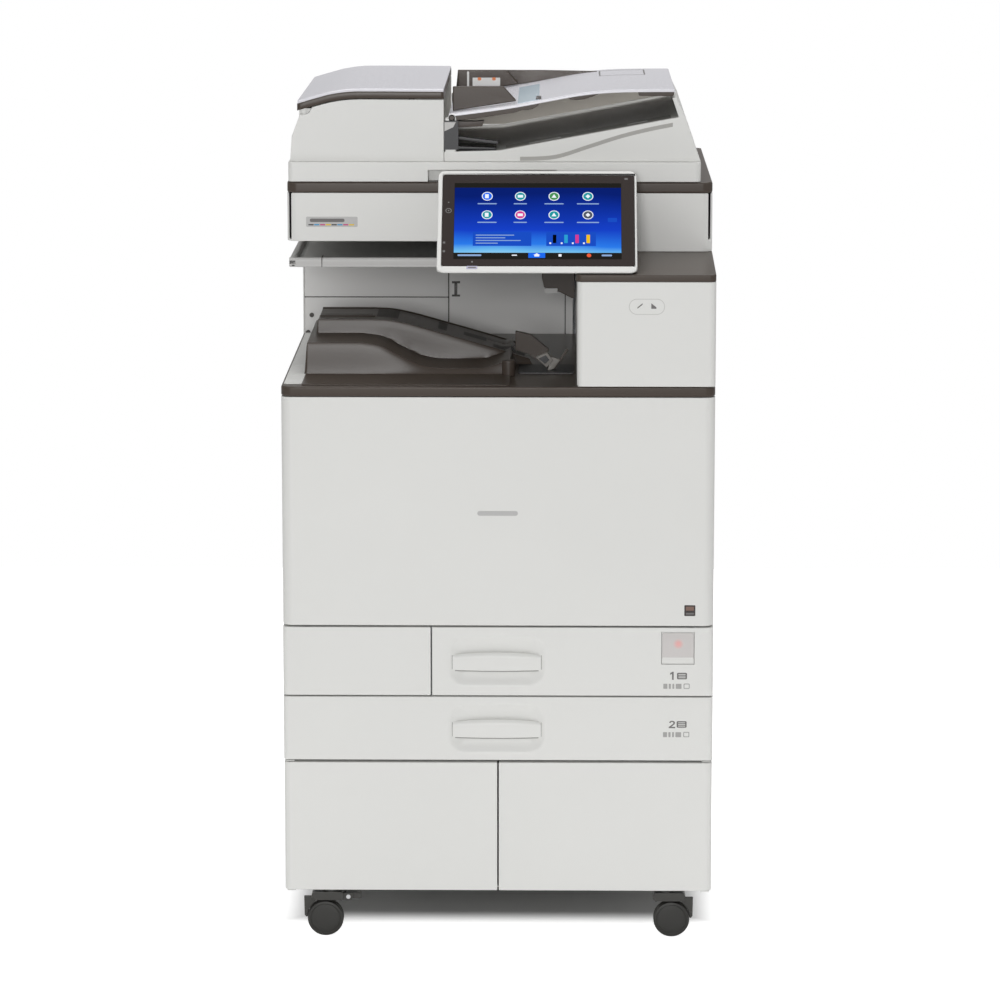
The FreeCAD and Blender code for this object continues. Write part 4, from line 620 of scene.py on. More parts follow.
class PHOTOCOPIER_OT_tray_fronts(bpy.types.Operator):
    """Builds the two drawer fronts with their dished handle recess and bowed grip, and their numbers"""
    bl_idname = "photocopier.tray_fronts"
    bl_label = "Drawer fronts"
    bl_options = {"REGISTER", "UNDO"}

    def execute(self, context):
        for tray in ("tray1", "tray2"):
            self.front(tray)
            self.grip(tray)
        return {"FINISHED"}

    def front(self, tray):
        low, high = box_mm(tray + "_front")
        grip_low, grip_high = box_mm(tray + "_grip")
        middle = ((grip_low.x + grip_high.x) / 2, (grip_low.z + grip_high.z) / 2)
        half = (64.7, 33.5)
        end = 7.0
        arc = [end * (1 - math.cos(math.radians(t))) for t in range(0, 90, 15)]
        first = [low.x] if tray == "tray1" else [low.x + t for t in arc]
        last = [high.x - t for t in reversed(arc)]
        inner_low, inner_high = (middle[0] - half[0] - 3, middle[0] + half[0] + 3)
        xs = sorted({round(v, 3) for v in first + steps(low.x + end, inner_low, 40)
                     + steps(inner_low, inner_high, 2.2) + steps(inner_high, high.x - end, 16) + last})
        window = None
        if tray == "tray1":
            hole_low, hole_high = box_mm("switch_housing")
            window = (hole_low.x - 0.5, hole_high.x + 0.5, hole_low.z - 0.5, hole_high.z + 0.5)
            xs = sorted([x for x in xs if not window[0] - 2 < x < window[1] + 2] + [window[0], window[1]])
        edge = [0, 0.15, 0.55, 1.2]
        zs = {low.z + t for t in edge} | {high.z - t for t in edge}
        zs |= set(steps(max(middle[1] - half[1] - 3, low.z + 2), min(middle[1] + half[1] + 3, high.z - 2),
                        2.0))
        if window:
            zs = {z for z in zs if abs(z - window[2]) > 0.9 and abs(z - window[3]) > 0.9} | {window[2],
                                                                                             window[3]}
        zs = sorted(zs)

        def place(x, z):
            deep = round_inside(x, z, middle, half, 22.0)
            far_in = 1 - min(max(deep, 0.0), 30.0) / 30.0
            dish = 9.0 * (1 - far_in ** 2.2)
            side = 0.0
            for gap, wanted in ((high.x - x, True), (x - low.x, tray == "tray2")):
                if wanted and gap < end:
                    side = end - math.sqrt(max(0.0, end * end - (end - gap) ** 2))
            rim = min(z - low.z, high.z - z)
            turn = 1.2 - math.sqrt(max(0.0, 1.44 - (1.2 - min(rim, 1.2)) ** 2))
            return x, low.y + max(dish, 0) + side + turn, z

        bm = field(xs, zs, place)
        if window:
            inside = [f for f in bm.faces if window[0] < f.calc_center_median().x / MM < window[1]
                      and window[2] < f.calc_center_median().z / MM < window[3]]
            bmesh.ops.delete(bm, geom=inside, context="FACES")
        facing(bm, (0, -1, 0))
        skirted(bm, (0, 18.0, 0))
        parts = [bm, slab((low.x + 6, low.y + 17.5, low.z + 1), (high.x - 8, high.y, high.z - 1))]
        if window:
            parts[1] = slab((low.x + 1, low.y + 17.5, low.z + 1), (window[0] - 0.5, high.y, high.z - 1))
            parts.append(slab((window[1] + 0.5, low.y + 17.5, low.z + 1), (high.x - 8, high.y, high.z - 1)))
        body = assembled(*parts)
        piece(tray + "_front_moulding", body, "white_panel", tray, (tray + "_front",))
        icon = 244.2
        digit, foot = ((ONE, 234.8), 374.2) if tray == "tray1" else ((TWO, 233.4), 306.6)
        y = low.y
        ink = [prism([(digit[1] + a, foot + b) for a, b in digit[0]], y - 0.12, y + 0.3, "y"),
               mark(icon, icon + 13.6, foot + 0.7, foot + 9.8, y, 0.12, 1.6, 4)]
        for line in range(3):
            z = foot + 2.5 + 2.3 * line
            ink.append((mark(icon + 2, icon + 11.6, z, z + 0.9, y, 0.2), 1))
        for near, far in ((225.6, 231.2), (233.0, 236.0), (238.0, 240.6), (242.6, 250.4)):
            ink.append((mark(near, far, foot - 12.6, foot - 5.6, y, 0.12, 0.6), 2))
        ink.append((mark(253.2, 261.6, foot - 12.6, foot - 5.2, y, 0.12, 1.4, 4), 2))
        ink.append((mark(254.4, 260.4, foot - 11.4, foot - 6.4, y, 0.2, 0.8, 4), 1))
        piece(tray + "_number", assembled(*ink), ("print_grey", "white_panel", "print_light"), tray, ())

    def grip(self, tray):
        low, high = box_mm(tray + "_grip")
        middle = (low.z + high.z) / 2
        half_x = (high.x - low.x) / 2
        centre = (low.x + high.x) / 2

        def place(x, t):
            bow = 1 - ((x - centre) / half_x) ** 2
            top = middle + 8.4 + 3.4 * bow
            foot = middle - 12.8 - 1.2 * bow
            crease = 0.75
            bulge = 1 - ((t - crease) / (1 - crease if t > crease else crease)) ** 2
            lean = 3.2 * (1 - bulge) if t > crease else 1.2 * (1 - bulge)
            return x, low.y + 1.0 - 0.8 * bow + lean + 2.0 * (t < 0.03), foot + (top - foot) * t

        bm = facing(field(steps(low.x + 1.6, high.x - 1.6, 3.0),
                          [0, 0.03, 0.12, 0.25, 0.4, 0.55, 0.68, 0.75, 0.8, 0.87, 0.94, 1], place),
                    (0, -1, 0))
        skirted(bm, (0, 5.0, 0))
        # The end strips and the strip under the grip are painted shade in the gaps round the bar.
        ends = [(slab((a, low.y + 2.2, middle - 11.5), (a + 1.6, low.y + 10, middle + 8.2)), 1)
                for a in (low.x, high.x - 1.6)]
        shade = field(steps(low.x + 0.8, high.x - 0.8, 3.0), [0, 1],
                      lambda x, t: (x, low.y + 4.2, place(x, 0)[2] - 1.3 + 1.6 * t))
        skirted(facing(shade, (0, -1, 0)), (0, 4.0, 0))
        back = slab((low.x + 1, low.y + 6, middle - 9), (high.x - 1, low.y + 8.3, middle + 6))
        piece(tray + "_grip_bar", assembled(bm, *ends, (shade, 1), back), ("white_panel", "shade_deep"), tray,
              (tray + "_grip",))


class PHOTOCOPIER_OT_switch(bpy.types.Operator):
    """Builds the translucent flap over the power switch, with a painted glow in its colour where a lamp would
    shine through
    """
    bl_idname = "photocopier.switch"
    bl_label = "Power switch"
    bl_options = {"REGISTER", "UNDO"}

    def execute(self, context):
        low, high = box_mm("switch_flap")
        lens = slab((low.x, low.y, low.z), (high.x, low.y + 2.5, high.z), "y", 1.5, 4, 0.5)
        knuckle = turned([(1.6, 0), (2.4, 0), (2.4, high.x - low.x), (1.6, high.x - low.x), (1.6, 0)],
                         (low.x, low.y + 1.9, low.z + 2.5), "x", 24)
        ledge = slab((low.x - 2.2, low.y - 1.0, low.z - 0.6), (high.x + 2.2, low.y - 0.6, low.z + 1.8))
        cover = slab((low.x - 2.6, low.y - 0.9, low.z - 0.7), (high.x + 2.6, low.y - 0.1, high.z + 2.6), "y",
                     1.5, 4, 0.3)
        piece("switch_lens_flap", assembled(lens, knuckle, cover, (ledge, 1)), ("switch_lens", "white_panel"),
              "switch_flap", ("switch_flap",))
        return {"FINISHED"}


class PHOTOCOPIER_OT_front_cover(bpy.types.Operator):
    """Builds the small plain plate and badge on the front cover"""
    bl_idname = "photocopier.front_cover"
    bl_label = "Front cover marks"
    bl_options = {"REGISTER", "UNDO"}

    def execute(self, context):
        y = box_mm("front_cover")[0].y
        badge = assembled((mark(253.5, 268.5, 463, 478, y, 0.05, 1, sunk=0.4), 0),
                          (mark(255.5, 266.5, 470.5, 476, y, 0.15, 0.8), 1),
                          (mark(255.5, 266.5, 465, 467.4, y, 0.15, 0.4), 2))
        piece("cover_badge", badge, ("dark_plastic", "print_brown", "print_grey"), "front_cover", ())
        name = mark(-28, 27, 601, 607.5, y, 0.25, 3.2, 8)
        piece("cover_nameplate", name, "plate_silver", "front_cover", ())
        return {"FINISHED"}


class PHOTOCOPIER_OT_deck(bpy.types.Operator):
    """Builds the brown output deck: its rim, two smoothly falling terraces, their slots drawn as dark strips
    of painted shade, and end cap
    """
    bl_idname = "photocopier.deck"
    bl_label = "Output deck"
    bl_options = {"REGISTER", "UNDO"}

    def execute(self, context):
        low, high = box_mm("output_deck")
        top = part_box("column_cover")[0].z / MM - 0.4
        rim = slab((low.x, low.y, low.z), (high.x, high.y, top))
        bevel(rim, front_corners(rim, low.y + 1, 1), 14 * MM, 10)
        break_edges(rim, 2.2 * MM, 3)

        lower = [(-190, 44.6), (-163, 40.0), (-137, 27.0), (-110, 14.5), (-76, 9.2), (-27, 9.2), (0, 16.0),
                 (20, 22.5)]
        upper = [(-180, 62.0), (-155, 60.6), (-132, 56.4), (-79, 42.0), (-10, 22.4), (20, 13.4), (48, 4.5)]

        def soft_step(value, width):
            return eased(value / width + 0.5)

        def place(x, y):
            left = soft_step(x + 266, 5)
            left_upper = soft_step(x + 257, 6)
            right = 1 - soft_step(x - 18, 7)
            right_upper = 1 - soft_step(x - 44 + 0.11 * (y + 130), 5)
            back = 1 - soft_step(y - 8, 6)
            tall = along_points(lower, x) * soft_step(y + 231, 6) * left * right * back
            lip = 1.6 * (soft_step(y + 1, 4) + 1 - soft_step(y + 121, 4))
            tall_upper = (along_points(upper, x) + lip) * soft_step(y + 129,
                                                                    6) * left_upper * right_upper * back
            return x, y, top - 0.6 + max(tall, tall_upper, 0.0)

        xs = sorted(set(steps(-270, -250, 0.8) + steps(-250, 12, 3.0) + steps(12, 24, 0.9)
                        + steps(24, 60, 2.0)))
        ys = sorted(set(steps(-236, -226, 0.7) + steps(-226, -134, 6.0) + steps(-134, -116, 0.9)
                        + steps(-116, -6, 7.0) + steps(-6, 14, 0.9)))
        terraces = facing(field(xs, ys, place), (0, 0, 1))
        skirted(terraces, (0, 0, -3))

        def bead(x0, x1, y, lift, depth, tall, finish=0):
            strip = field(steps(x0, x1, 6), [0, 1, 2, 3], lambda x,
                          t: (x, y + (t - 1.5) * depth / 3, place(x, y)[2] + lift + tall * (t in (1, 2))))
            return skirted(facing(strip, (0, 0, 1)), (0, 0, -2)), finish

        # Beads in the second finish are near-flat dark strips: painted shade that stands in for the slots.
        marks = [bead(-174, -144, -45, 0.1, 80, 0.3, 1), bead(-254, -180, -62, 0.1, 5, 0.3, 1),
                 bead(-254, -176, -84, 0.0, 5, 1.2), bead(-52, -20, -55, 0.1, 34, 0.3, 1),
                 bead(-88, -76, -45, 0.1, 70, 0.3, 1), bead(-19, 20, -34, 0.4, 34, 0.9),
                 bead(-10, 34, -92, 0.1, 30, 0.3, 1)]
        apron = slab((-266, -333, top - 0.4), (16, -229, top + 1.6), "z", 5, 5, 0.8)
        cap = slab((4, -246, top - 0.5), (22, -226, top + 22), "z", 8, 8, 2.5)
        deck = assembled(rim, terraces, apron, cap, *marks)
        piece("output_deck_moulding", deck, ("brown_trim", "painted_seam_shade"), "chassis", ("output_deck",))

        plate = assembled(slab((low.x + 3, -322, top), (-266, high.y - 3, top + 1.2), "z", 2, 3, 0.5),
                          *[(slab((low.x + 4, y, top + 1.1), (-267, y + 1.2, top + 1.4)), 1)
                            for y in (-290, -235, -150, -60, 60)])
        piece("deck_side_plate", plate, ("white_panel", "grey_inner"), "chassis", ())
        return {"FINISHED"}


class PHOTOCOPIER_OT_bay(bpy.types.Operator):
    """Builds the bay's back wall with its seams, slot and screws, the inner tray and the exit linkage"""
    bl_idname = "photocopier.bay"
    bl_label = "Output bay"
    bl_options = {"REGISTER", "UNDO"}

    def execute(self, context):
        low, high = box_mm("bay_back_wall")
        y = low.y
        panes = [(low.x, -80.5, 831.8, high.z), (low.x, -80.5, low.z, 830.4), (-78.9, 90.6, low.z, high.z),
                 (92.0, high.x, low.z, high.z)]
        # The wall behind the panes is dark: painted shade that shows in the seams between them.
        wall = slab((low.x, y + 0.6, low.z), (high.x, high.y, high.z))
        parts = [(wall, 1)]
        for x0, x1, z0, z1 in panes:
            parts.append(slab((x0, y, z0), (x1, y + 1.6, z1), "y", 1.2, 3, 0.5))
        ibeam = [mark(-75, -63, 851.5, 855, y, 0.3, sunk=0.6), mark(-71.5, -67, 834, 853, y, 0.3, sunk=0.6),
                 mark(-75, -63, 832, 835, y, 0.3, sunk=0.6)]
        parts += [(p, 2) for p in ibeam]
        for x, z in ((-281, 804.5), (-286.5, 779)):
            parts.append((turned([(0, 0), (3.4, 0), (3.4, 1.2), (2.6, 2.0), (0, 2.0)], (x, y - 1.6, z), "y",
                                 24), 2))
        piece("bay_wall_panels", assembled(*parts), ("grey_inner", "painted_seam_shade", "dark_plastic"), "chassis",
              ("bay_back_wall",))

        low, high = box_mm("inner_tray")
        plate = slab((low.x, low.y, low.z), (high.x, high.y, low.z + 4), "z", 4, 4, 0.8)
        lip = slab((low.x, low.y, low.z + 0.5), (high.x, low.y + 9, high.z), "x", 4.0, 5, 0.4)
        walls = [slab((low.x, low.y, low.z + 1), (low.x + 9, high.y, high.z), "y", 3, 4, 0.5),
                 slab((high.x - 9, low.y, low.z + 1), (high.x, high.y, high.z), "y", 3, 4, 0.5),
                 slab((low.x, high.y - 6, low.z + 1), (high.x, high.y, high.z), "x", 2, 3, 0.5)]
        # The seam is a dark strip of painted shade.
        seam = slab((-246.3, low.y - 0.2, low.z), (-245.2, low.y + 30, high.z + 0.2))
        piece("inner_tray_moulding", assembled(plate, lip, *walls, (seam, 1)), ("grey_light", "painted_seam_shade"),
              "chassis", ("inner_tray",))

        bridge = prism([(57, 919), (104, 919), (104, 862), (100, 862), (83, 870.5), (61, 877), (58, 890)],
                       -60, 150, "y", 1.2)
        tongue = slab((62, -62, 869), (80, -58, 876), "y", 1, 3)
        piece("bay_bridge_cover", assembled(bridge, (tongue, 1)), ("brown_trim", "grey_light"), "chassis", ())

        arm = prism([(22, 832), (44, 827), (69, 806), (54, 790), (40, 800), (22, 806)], -186, -174, "y", 1.0)
        tip = prism([(50, 797), (66, 804), (74, 793), (65, 783)], -198, -186, "y", 0.8)
        fork = prism([(72, 798), (84, 793.5), (75, 781), (66, 778.4)], -196, -191, "y", 0.8)
        hook = prism([(54, 795.5), (64, 800.5), (69, 794), (63, 788)], -199, -196, "y", 0.5)
        link = prism([(73, 779), (77, 779), (96, 806), (93, 809)], -186, -182, "y", 0.5)
        shaft = rod(3, 60, (62, -185, 794), "y", 20)
        # The black plate on the deck under the arm is painted shade, standing in for the shadow round the
        # exit unit.
        floor = slab((26, -222, 777.3), (103, -140, 779.5), "z", 3, 3, 0.6)
        piece("exit_linkage",
              assembled((arm, 0), (tip, 1), (fork, 1), (hook, 2), (link, 0), (shaft, 2), (floor, 2)),
              ("brown_trim", "grey_dark", "engine_black"), "chassis", ())
        return {"FINISHED"}


class PHOTOCOPIER_OT_column(bpy.types.Operator):
    """Builds the column's brown cap with its glossy edge, and the oval mark on the white cover, ringed by
    painted shade
    """
    bl_idname = "photocopier.column"
    bl_label = "Column"
    bl_options = {"REGISTER", "UNDO"}

    def execute(self, context):
        low, high = box_mm("column_cap")
        scanner_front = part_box("scanner_base")[0].y / MM
        cap = prism([(low.y, low.z), (high.y, low.z), (high.y, high.z), (scanner_front, high.z),
                     (low.y, 929.7)], low.x, high.x, "x")
        bevel(cap, front_corners(cap, low.y + 1, 5), 8.4 * MM, 8)
        break_edges(cap, 1.6 * MM, 3)
        piece("column_cap_moulding", cap, "brown_trim", "chassis", ("column_cap",))
        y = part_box("column_cover")[0].y / MM
        oval = mark(177, 223.5, 877, 896.5, y, 0.05, 9.7, 12)
        # The groove round the oval is a flat ring in a darker tone: painted shade, not a recess.
        groove = mark(176, 224.5, 876, 897.5, y, 0.02, 10.7, 12)
        marks = [(prism(list(zip((x - 3.4, x + 3.4, x + 3.4, x - 3.4), heights)), y - 0.2, y + 0.3, "y"), 2)
                 for x, heights in ((190.9, (884, 889.5, 891.5, 886)), (209.5, (884, 884, 886, 891.5)))]
        piece("column_oval_mark", assembled((groove, 1), (oval, 0), *marks),
              ("white_panel", "shade_line", "print_grey"), "chassis", ())
        return {"FINISHED"}


class PHOTOCOPIER_OT_scanner(bpy.types.Operator):
    """Builds the scanner's brown top frame with rounded glossy edge, and its model plate"""
    bl_idname = "photocopier.scanner"
    bl_label = "Scanner"
    bl_options = {"REGISTER", "UNDO"}

    def execute(self, context):
        bm = copy_of("scanner_top_frame")
        low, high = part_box("scanner_top_frame")
        break_edges(bm, 2.6 * MM, 4, lambda e: all(v.co.y < low.y + 15 * MM or v.co.x < low.x + 0.1 * MM
                                                   or v.co.x > high.x - 0.1 * MM for v in e.verts)
                    and abs(e.verts[0].co.z - e.verts[1].co.z) < MM)
        piece("scanner_frame_moulding", bm, "brown_trim", "chassis", ("scanner_top_frame",))
        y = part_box("scanner_base")[0].y / MM
        plate = [(mark(-267, -196, 975, 989, y, 0.15, 1.5, 4, sunk=0.4), 0)]
        for index, x in enumerate(range(-264, -200, 8)):
            plate.append((mark(x, x + 7.2, 977.0, 978.8, y, 0.3), 2 + index % 4))
        plate.append((mark(-262, -214, 981.6, 986.4, y, 0.3, 2.3, 6), 1))
        piece("scanner_model_plate", assembled(*plate),
              ("plate_silver", "print_grey", "toner_black", "toner_cyan", "toner_magenta", "toner_yellow"),
              "chassis", ())
        return {"FINISHED"}


# Heights (mm) read from the photograph at points from left to right.
LID_EDGE = ((-279, 1134.4), (-255, 1141.5), (-232, 1147.5), (-208, 1150.8), (-185, 1151.4), (-77, 1151.0))
TRAY_TOP = ((-70, 1130.2), (-19, 1136.8), (18, 1142.2), (66, 1151.0), (100, 1157.4), (124, 1160.8),
            (157, 1163.4), (200, 1164.4), (241, 1164.6))


def lid_edge(x):
    """Height of the feeder lid's lower edge (mm)."""
    return along_points(LID_EDGE, x)


def tray_top(x):
    """Height of the document tray's top face (mm)."""
    return along_points(TRAY_TOP, x)


def corner(gap, radius):
    """How far a rounded corner has turned back at a gap from its end (mm)."""
    return radius - math.sqrt(max(0.0, radius ** 2 - (radius - min(max(gap, 0.0), radius)) ** 2))


class PHOTOCOPIER_OT_feeder_lid(bpy.types.Operator):
    """Builds the feeder's curved lid: a glossy shell over a brown band, its lining, lugs and pins"""
    bl_idname = "photocopier.feeder_lid"
    bl_label = "Feeder lid"
    bl_options = {"REGISTER", "UNDO"}

    def execute(self, context):
        low, high = box_mm("feeder_lid")
        band = 9.6

        def crown(x, y):
            drop = corner(y - low.y, 4.0) + corner(high.y - y, 4.0) + 0.7 * corner(high.x - x, 2.5)
            return x, y, lid_edge(x) + band + 3.9 - drop * 0.9

        rims = [0, 0.4, 1.2, 2.4, 4.0]
        ys = [low.y + 0.5 + t for t in rims] + steps(low.y + 12, high.y - 12,
                                                     60) + [high.y - 0.5 - t for t in reversed(rims)]
        xs = sorted(set(steps(low.x + 0.6, low.x + 96, 4.0) + steps(low.x + 96, high.x - 3, 26)
                        + [high.x - 1.2, high.x - 0.3]))
        shell = skirted(facing(field(xs, ys, crown), (0, 0, 1)), (0, 0, -2.0))
        lining = prism([(x, lid_edge(x) + 8.2) for x in xs] + [(x, lid_edge(x) + 9.4) for x in reversed(xs)],
                       low.y + 1.4, high.y - 1.4, "y")

        heights = [0, 0.08, 0.25, 0.5, 0.75, 0.92, 1]

        def front(x, t):
            turn = corner(x - low.x, 5.0) * 0.8 + corner(high.x - x, 3.5)
            return x, low.y + turn + 0.6 * abs(2 * t - 1) ** 3, lid_edge(x) + band * t

        def rear(x, t):
            place = front(x, t)
            return x, high.y + low.y - place[1], place[2]

        ends = [low.x + t for t in (0, 0.3, 0.9, 2.0, 3.4, 5.0)]
        wide = sorted(set(ends + steps(low.x + 5, high.x - 4, 4.5)
                          + [high.x - t for t in (3.5, 2.2, 1.0, 0.3, 0)]))
        bands = [skirted(facing(field(wide, heights, place), (0, way, 0)), (0, -0.9 * way, 0))
                 for place, way in ((front, -1), (rear, 1))]
        left = slab((low.x, low.y + 4, lid_edge(low.x)), (low.x + 1.2, high.y - 4, lid_edge(low.x) + band))
        right = slab((high.x - 1.2, low.y + 3, lid_edge(high.x) + 1),
                     (high.x, high.y - 3, lid_edge(high.x) + band))
        x, z = low.x + 8.5, 1139.5
        lugs = [(slab((-276.4, y, 1126), (-256, y + 0.5, 1137.4)), 3) for y in (low.y + 4.1, high.y - 4.6)]
        for lug, pin in ((low.y + 8.7, low.y + 2.2), (high.y - 12.7, high.y - 9.2)):
            lugs.append((slab((x - 3, lug, z - 3), (x + 5, lug + 4, z + 4.5), "y", 1.5, 4), 2))
            lugs.append((rod(2, 7, (x, pin, z), "y", 20), 2))
        piece("feeder_lid_shell",
              assembled(shell, (lining, 2), *[(b, 1) for b in bands], (left, 1), (right, 1), *lugs),
              ("lid_white", "brown_trim", "dark_plastic", "white_panel"), "feeder_lid", ("feeder_lid",))
        return {"FINISHED"}


class PHOTOCOPIER_OT_feed_housing(bpy.types.Operator):
    """Builds the feed housing, its top edge curved to follow the lid"""
    bl_idname = "photocopier.feed_housing"
    bl_label = "Feed housing"
    bl_options = {"REGISTER", "UNDO"}

    def execute(self, context):
        sizes = context.scene.copier_sizes
        bm = copy_of("feed_housing")
        low, high = box_mm("feed_housing")
        shoulder, flat = (-275.0, 1129.5), (-193.0, high.z)
        for x in (-258, -250, -242, -232, -222, -208):
            bmesh.ops.bisect_plane(bm, geom=[*bm.verts, *bm.edges, *bm.faces], plane_co=(x * MM, 0, 0),
                                   plane_no=(1, 0, 0))
        for vert in bm.verts:
            x, z = vert.co.x / MM, vert.co.z / MM
            part = min(max((x - shoulder[0]) / (flat[0] - shoulder[0]), 0.0), 1.0)
            line = shoulder[1] + (flat[1] - shoulder[1]) * part
            if x > -259 and abs(z - line) < 0.4:
                vert.co.z = (lid_edge(x) - 1.3) * MM
        break_edges(bm, sizes.fine_edge * 1.6)
        add(bm, slab((-262.5, low.y + 6, 1110), (-261.5, high.y - 6, 1136.5)))
        piece("feed_housing_moulding", bm, "white_panel", "feeder", ("feed_housing",))
        return {"FINISHED"}


class PHOTOCOPIER_OT_document_tray(bpy.types.Operator):
    """Builds the document tray: pale top, bulged brown underside, rear wall, film and both fences"""
    bl_idname = "photocopier.document_tray"
    bl_label = "Document tray"
    bl_options = {"REGISTER", "UNDO"}

    def execute(self, context):
        low, high = box_mm("document_tray")
        front, rear = low.y, high.y - 3
        right = high.x

        def surface_at(x, y):
            drop = corner(y - front, 1.6) + corner(rear - y, 1.6) + corner(right - x, 1.6)
            return x, y, tray_top(x) - drop

        rims = [0, 0.3, 0.9, 1.6]
        ys = [front + t for t in rims] + steps(front + 10, rear - 10, 50) + [rear - t for t in reversed(rims)]
        xs = sorted(set(steps(low.x, right - 1.6, 5.0) + [right - 0.9, right - 0.3, right]))
        top = skirted(facing(field(xs, ys, surface_at), (0, 0, 1)), (0, 0, -2.4))

        def belly(foot):
            line = steps(foot[0][0], foot[-1][0], 8)
            return prism([*foot, *[(x, tray_top(x) - 2.3) for x in reversed(line)]], front + 0.5, rear - 0.5,
                         "y", 0.6)

        sheet = prism([(x, tray_top(x) - 3.6) for x in xs[:-3]]
                      + [(x, tray_top(x) - 2.3) for x in reversed(xs[:-3])], front + 0.5, rear - 0.5, "y")
        shapes = [belly([(-70, 1120.5), (-34, 1123.5), (18, 1131.5), (31, 1135.2), (38, 1135.6), (45, 1137.0),
                         (51, 1140.4), (56, 1145.6)]),
                  belly([(93, 1153.0), (97, 1150.0), (104, 1149.2), (116, 1150.4), (128, 1154.2),
                         (138, 1158.6)]),
                  belly([(190, 1160.0), (191.5, 1155.4), (194, 1154.8), (right - 4, 1154.8),
                         (right - 1.5, 1155.6)]), sheet]
        pins = [(rod(3, 10, (-66, y, 1125), "y"), 1) for y in (front - 5, rear - 5)]
        wall = prism([(-69, tray_top(-69) - 1), (136, tray_top(136) - 1), (137, 1162.8), (60, 1164.2),
                      (-65.5, 1164.4)], 185, 189, "y", 0.6)
        body = body_of("document_tray")
        piece("document_tray_moulding", assembled(top, *[(b, 1) for b in shapes], (wall, 1), *pins),
              ("lid_white", "brown_trim"), body, ("document_tray",))
        marks = [(patch(24.5, 54, -150, 126, tray_top, 0.5, 0.8), 0)]
        for x0, x1, y0, y1 in ((139, 205, 97, 99), (139, 205, 190, 192), (139, 141, 99, 190),
                               (203, 205, 99, 190)):
            marks.append((patch(x0, x1, y0, y1, tray_top, 0.15, 0.4), 1))
        marks.append((slab((50, -148, tray_top(50) + 0.2), (57, -128, tray_top(57) + 3.0), "z", 1, 3, 0.5),
                      2))
        piece("document_tray_details", assembled(*marks), ("film_blue", "print_grey", "dark_plastic"), body,
              ())

        for node in ("front_fence", "rear_fence"):
            fence = copy_of(node)
            for vert in fence.verts:
                if vert.co.x < -60 * MM:
                    vert.co += Vector((-1.5, 0, 0)) * MM
            break_edges(fence, 1.4 * MM, 3)
            if node == "rear_fence":
                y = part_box(node)[0].y / MM
                add(fence, mark(-44, -4, 1142, 1154, y, 0.2, 1), 1)
                for x in (-34, -13):
                    add(fence, mark(x - 2.6, x + 2.6, 1150, 1154.4, y, 0.35, 1.5, 4), 2)
                add(fence, mark(-52, -49, 1141, 1163, y, 0.4, 1), 1)
            piece(node + "_moulding", fence, ("brown_trim", "white_panel", "print_orange"), node, (node,))
        return {"FINISHED"}


class PHOTOCOPIER_OT_exit_tray(bpy.types.Operator):
    """Builds the tray for read originals: sloping body, a cove and a lip band in painted shade with two
    painted highlights, a beige-grey rear wall of painted shade, and the dark paper guides at its throat
    """
    bl_idname = "photocopier.exit_tray"
    bl_label = "Exit tray"
    bl_options = {"REGISTER", "UNDO"}

    def execute(self, context):
        sizes = context.scene.copier_sizes
        bm = copy_of("exit_tray")
        break_edges(bm, sizes.edge)
        body = body_of("exit_tray")
        piece("exit_tray_moulding", bm, "white_panel", body, ("exit_tray",))
        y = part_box("exit_tray")[0].y / MM

        def slope(x):
            return 1080.0 + 46.0 * x / 246.0

        # The cove band and the lip band are painted shade: flat darker strips where the slope turns away from
        # the light; the two white patches on the lip are painted highlights.
        cove_shade = ribbon([(28, 1068.6), (55, 1069.2), (78, 1071.6), (124, 1086), (168, 1100), (207, 1109.6),
                       (238, 1115.8)], 5.5, y - 0.15)
        lip = patch(8, 236, y + 6, y + 62, slope, 0.15, 0.4)
        lights = [patch(40, 84, y + 24, y + 34, slope, 0.3, 0.4),
                  patch(176, 204, y + 30, y + 40, slope, 0.3, 0.4)]
        parts = [(cove_shade, 0), (lip, 0), *[(light, 1) for light in lights],
                 (prism([(-74, 1100.5), (-3, 1091.8), (-2, 1088.2), (-8, 1087.6), (-74, 1096)], y + 12,
                        y + 16, "y", 0.8), 2),
                 (prism([(-74, 1086), (-6, 1083.6), (-5, 1080.6), (-74, 1081.2)], y + 4, y + 60, "y", 0.8),
                  2), (prism([(-62, 1119), (-34, 1119), (-22, 1120), (-24, 1112), (-62, 1110)], y + 14,
                             y + 30, "y", 0.8), 3), (mark(-76.4, -57, 1081, 1121, y, 0.3, sunk=0.4), 2),
                 (prism([(-76, 1119), (-60.5, 1119), (-64, 1112), (-76, 1106.5)], y - 0.8, y - 0.2, "y"), 4),
                 # The beige-grey rear wall is painted shade: its darker tone stands in for the shaded space
                 # under the document tray.
                 (prism([(-76, 1081), (0, 1081), (238, 1125), (238, 1156), (124, 1155), (66, 1146),
                         (18, 1137), (-76, 1126)], 240, 246, "y"), 5)]
        piece("exit_tray_guides", assembled(*parts),
              ("shade_soft", "white_panel", "engine_black", "brown_trim", "grey_light", "painted_shade_wall"), body,
              ())
        return {"FINISHED"}


class PHOTOCOPIER_OT_platen_pad(bpy.types.Operator):
    """Builds the foam pad with its smooth white facing sheet"""
    bl_idname = "photocopier.platen_pad"
    bl_label = "Platen pad"
    bl_options = {"REGISTER", "UNDO"}

    def execute(self, context):
        bm = copy_of("platen_pad")
        break_edges(bm, 1.5 * MM, 3)
        piece("platen_pad_cushion", bm, "sponge", body_of("platen_pad"), ("platen_pad",))
        return {"FINISHED"}


PANEL_TILT = math.radians(46.8)  # of the screen from level
PANEL_FOOT = 932.5               # height of the panel's lower front edge (mm)
PANEL_BACK = 1.5                 # from the front cover's face back to that edge (mm)


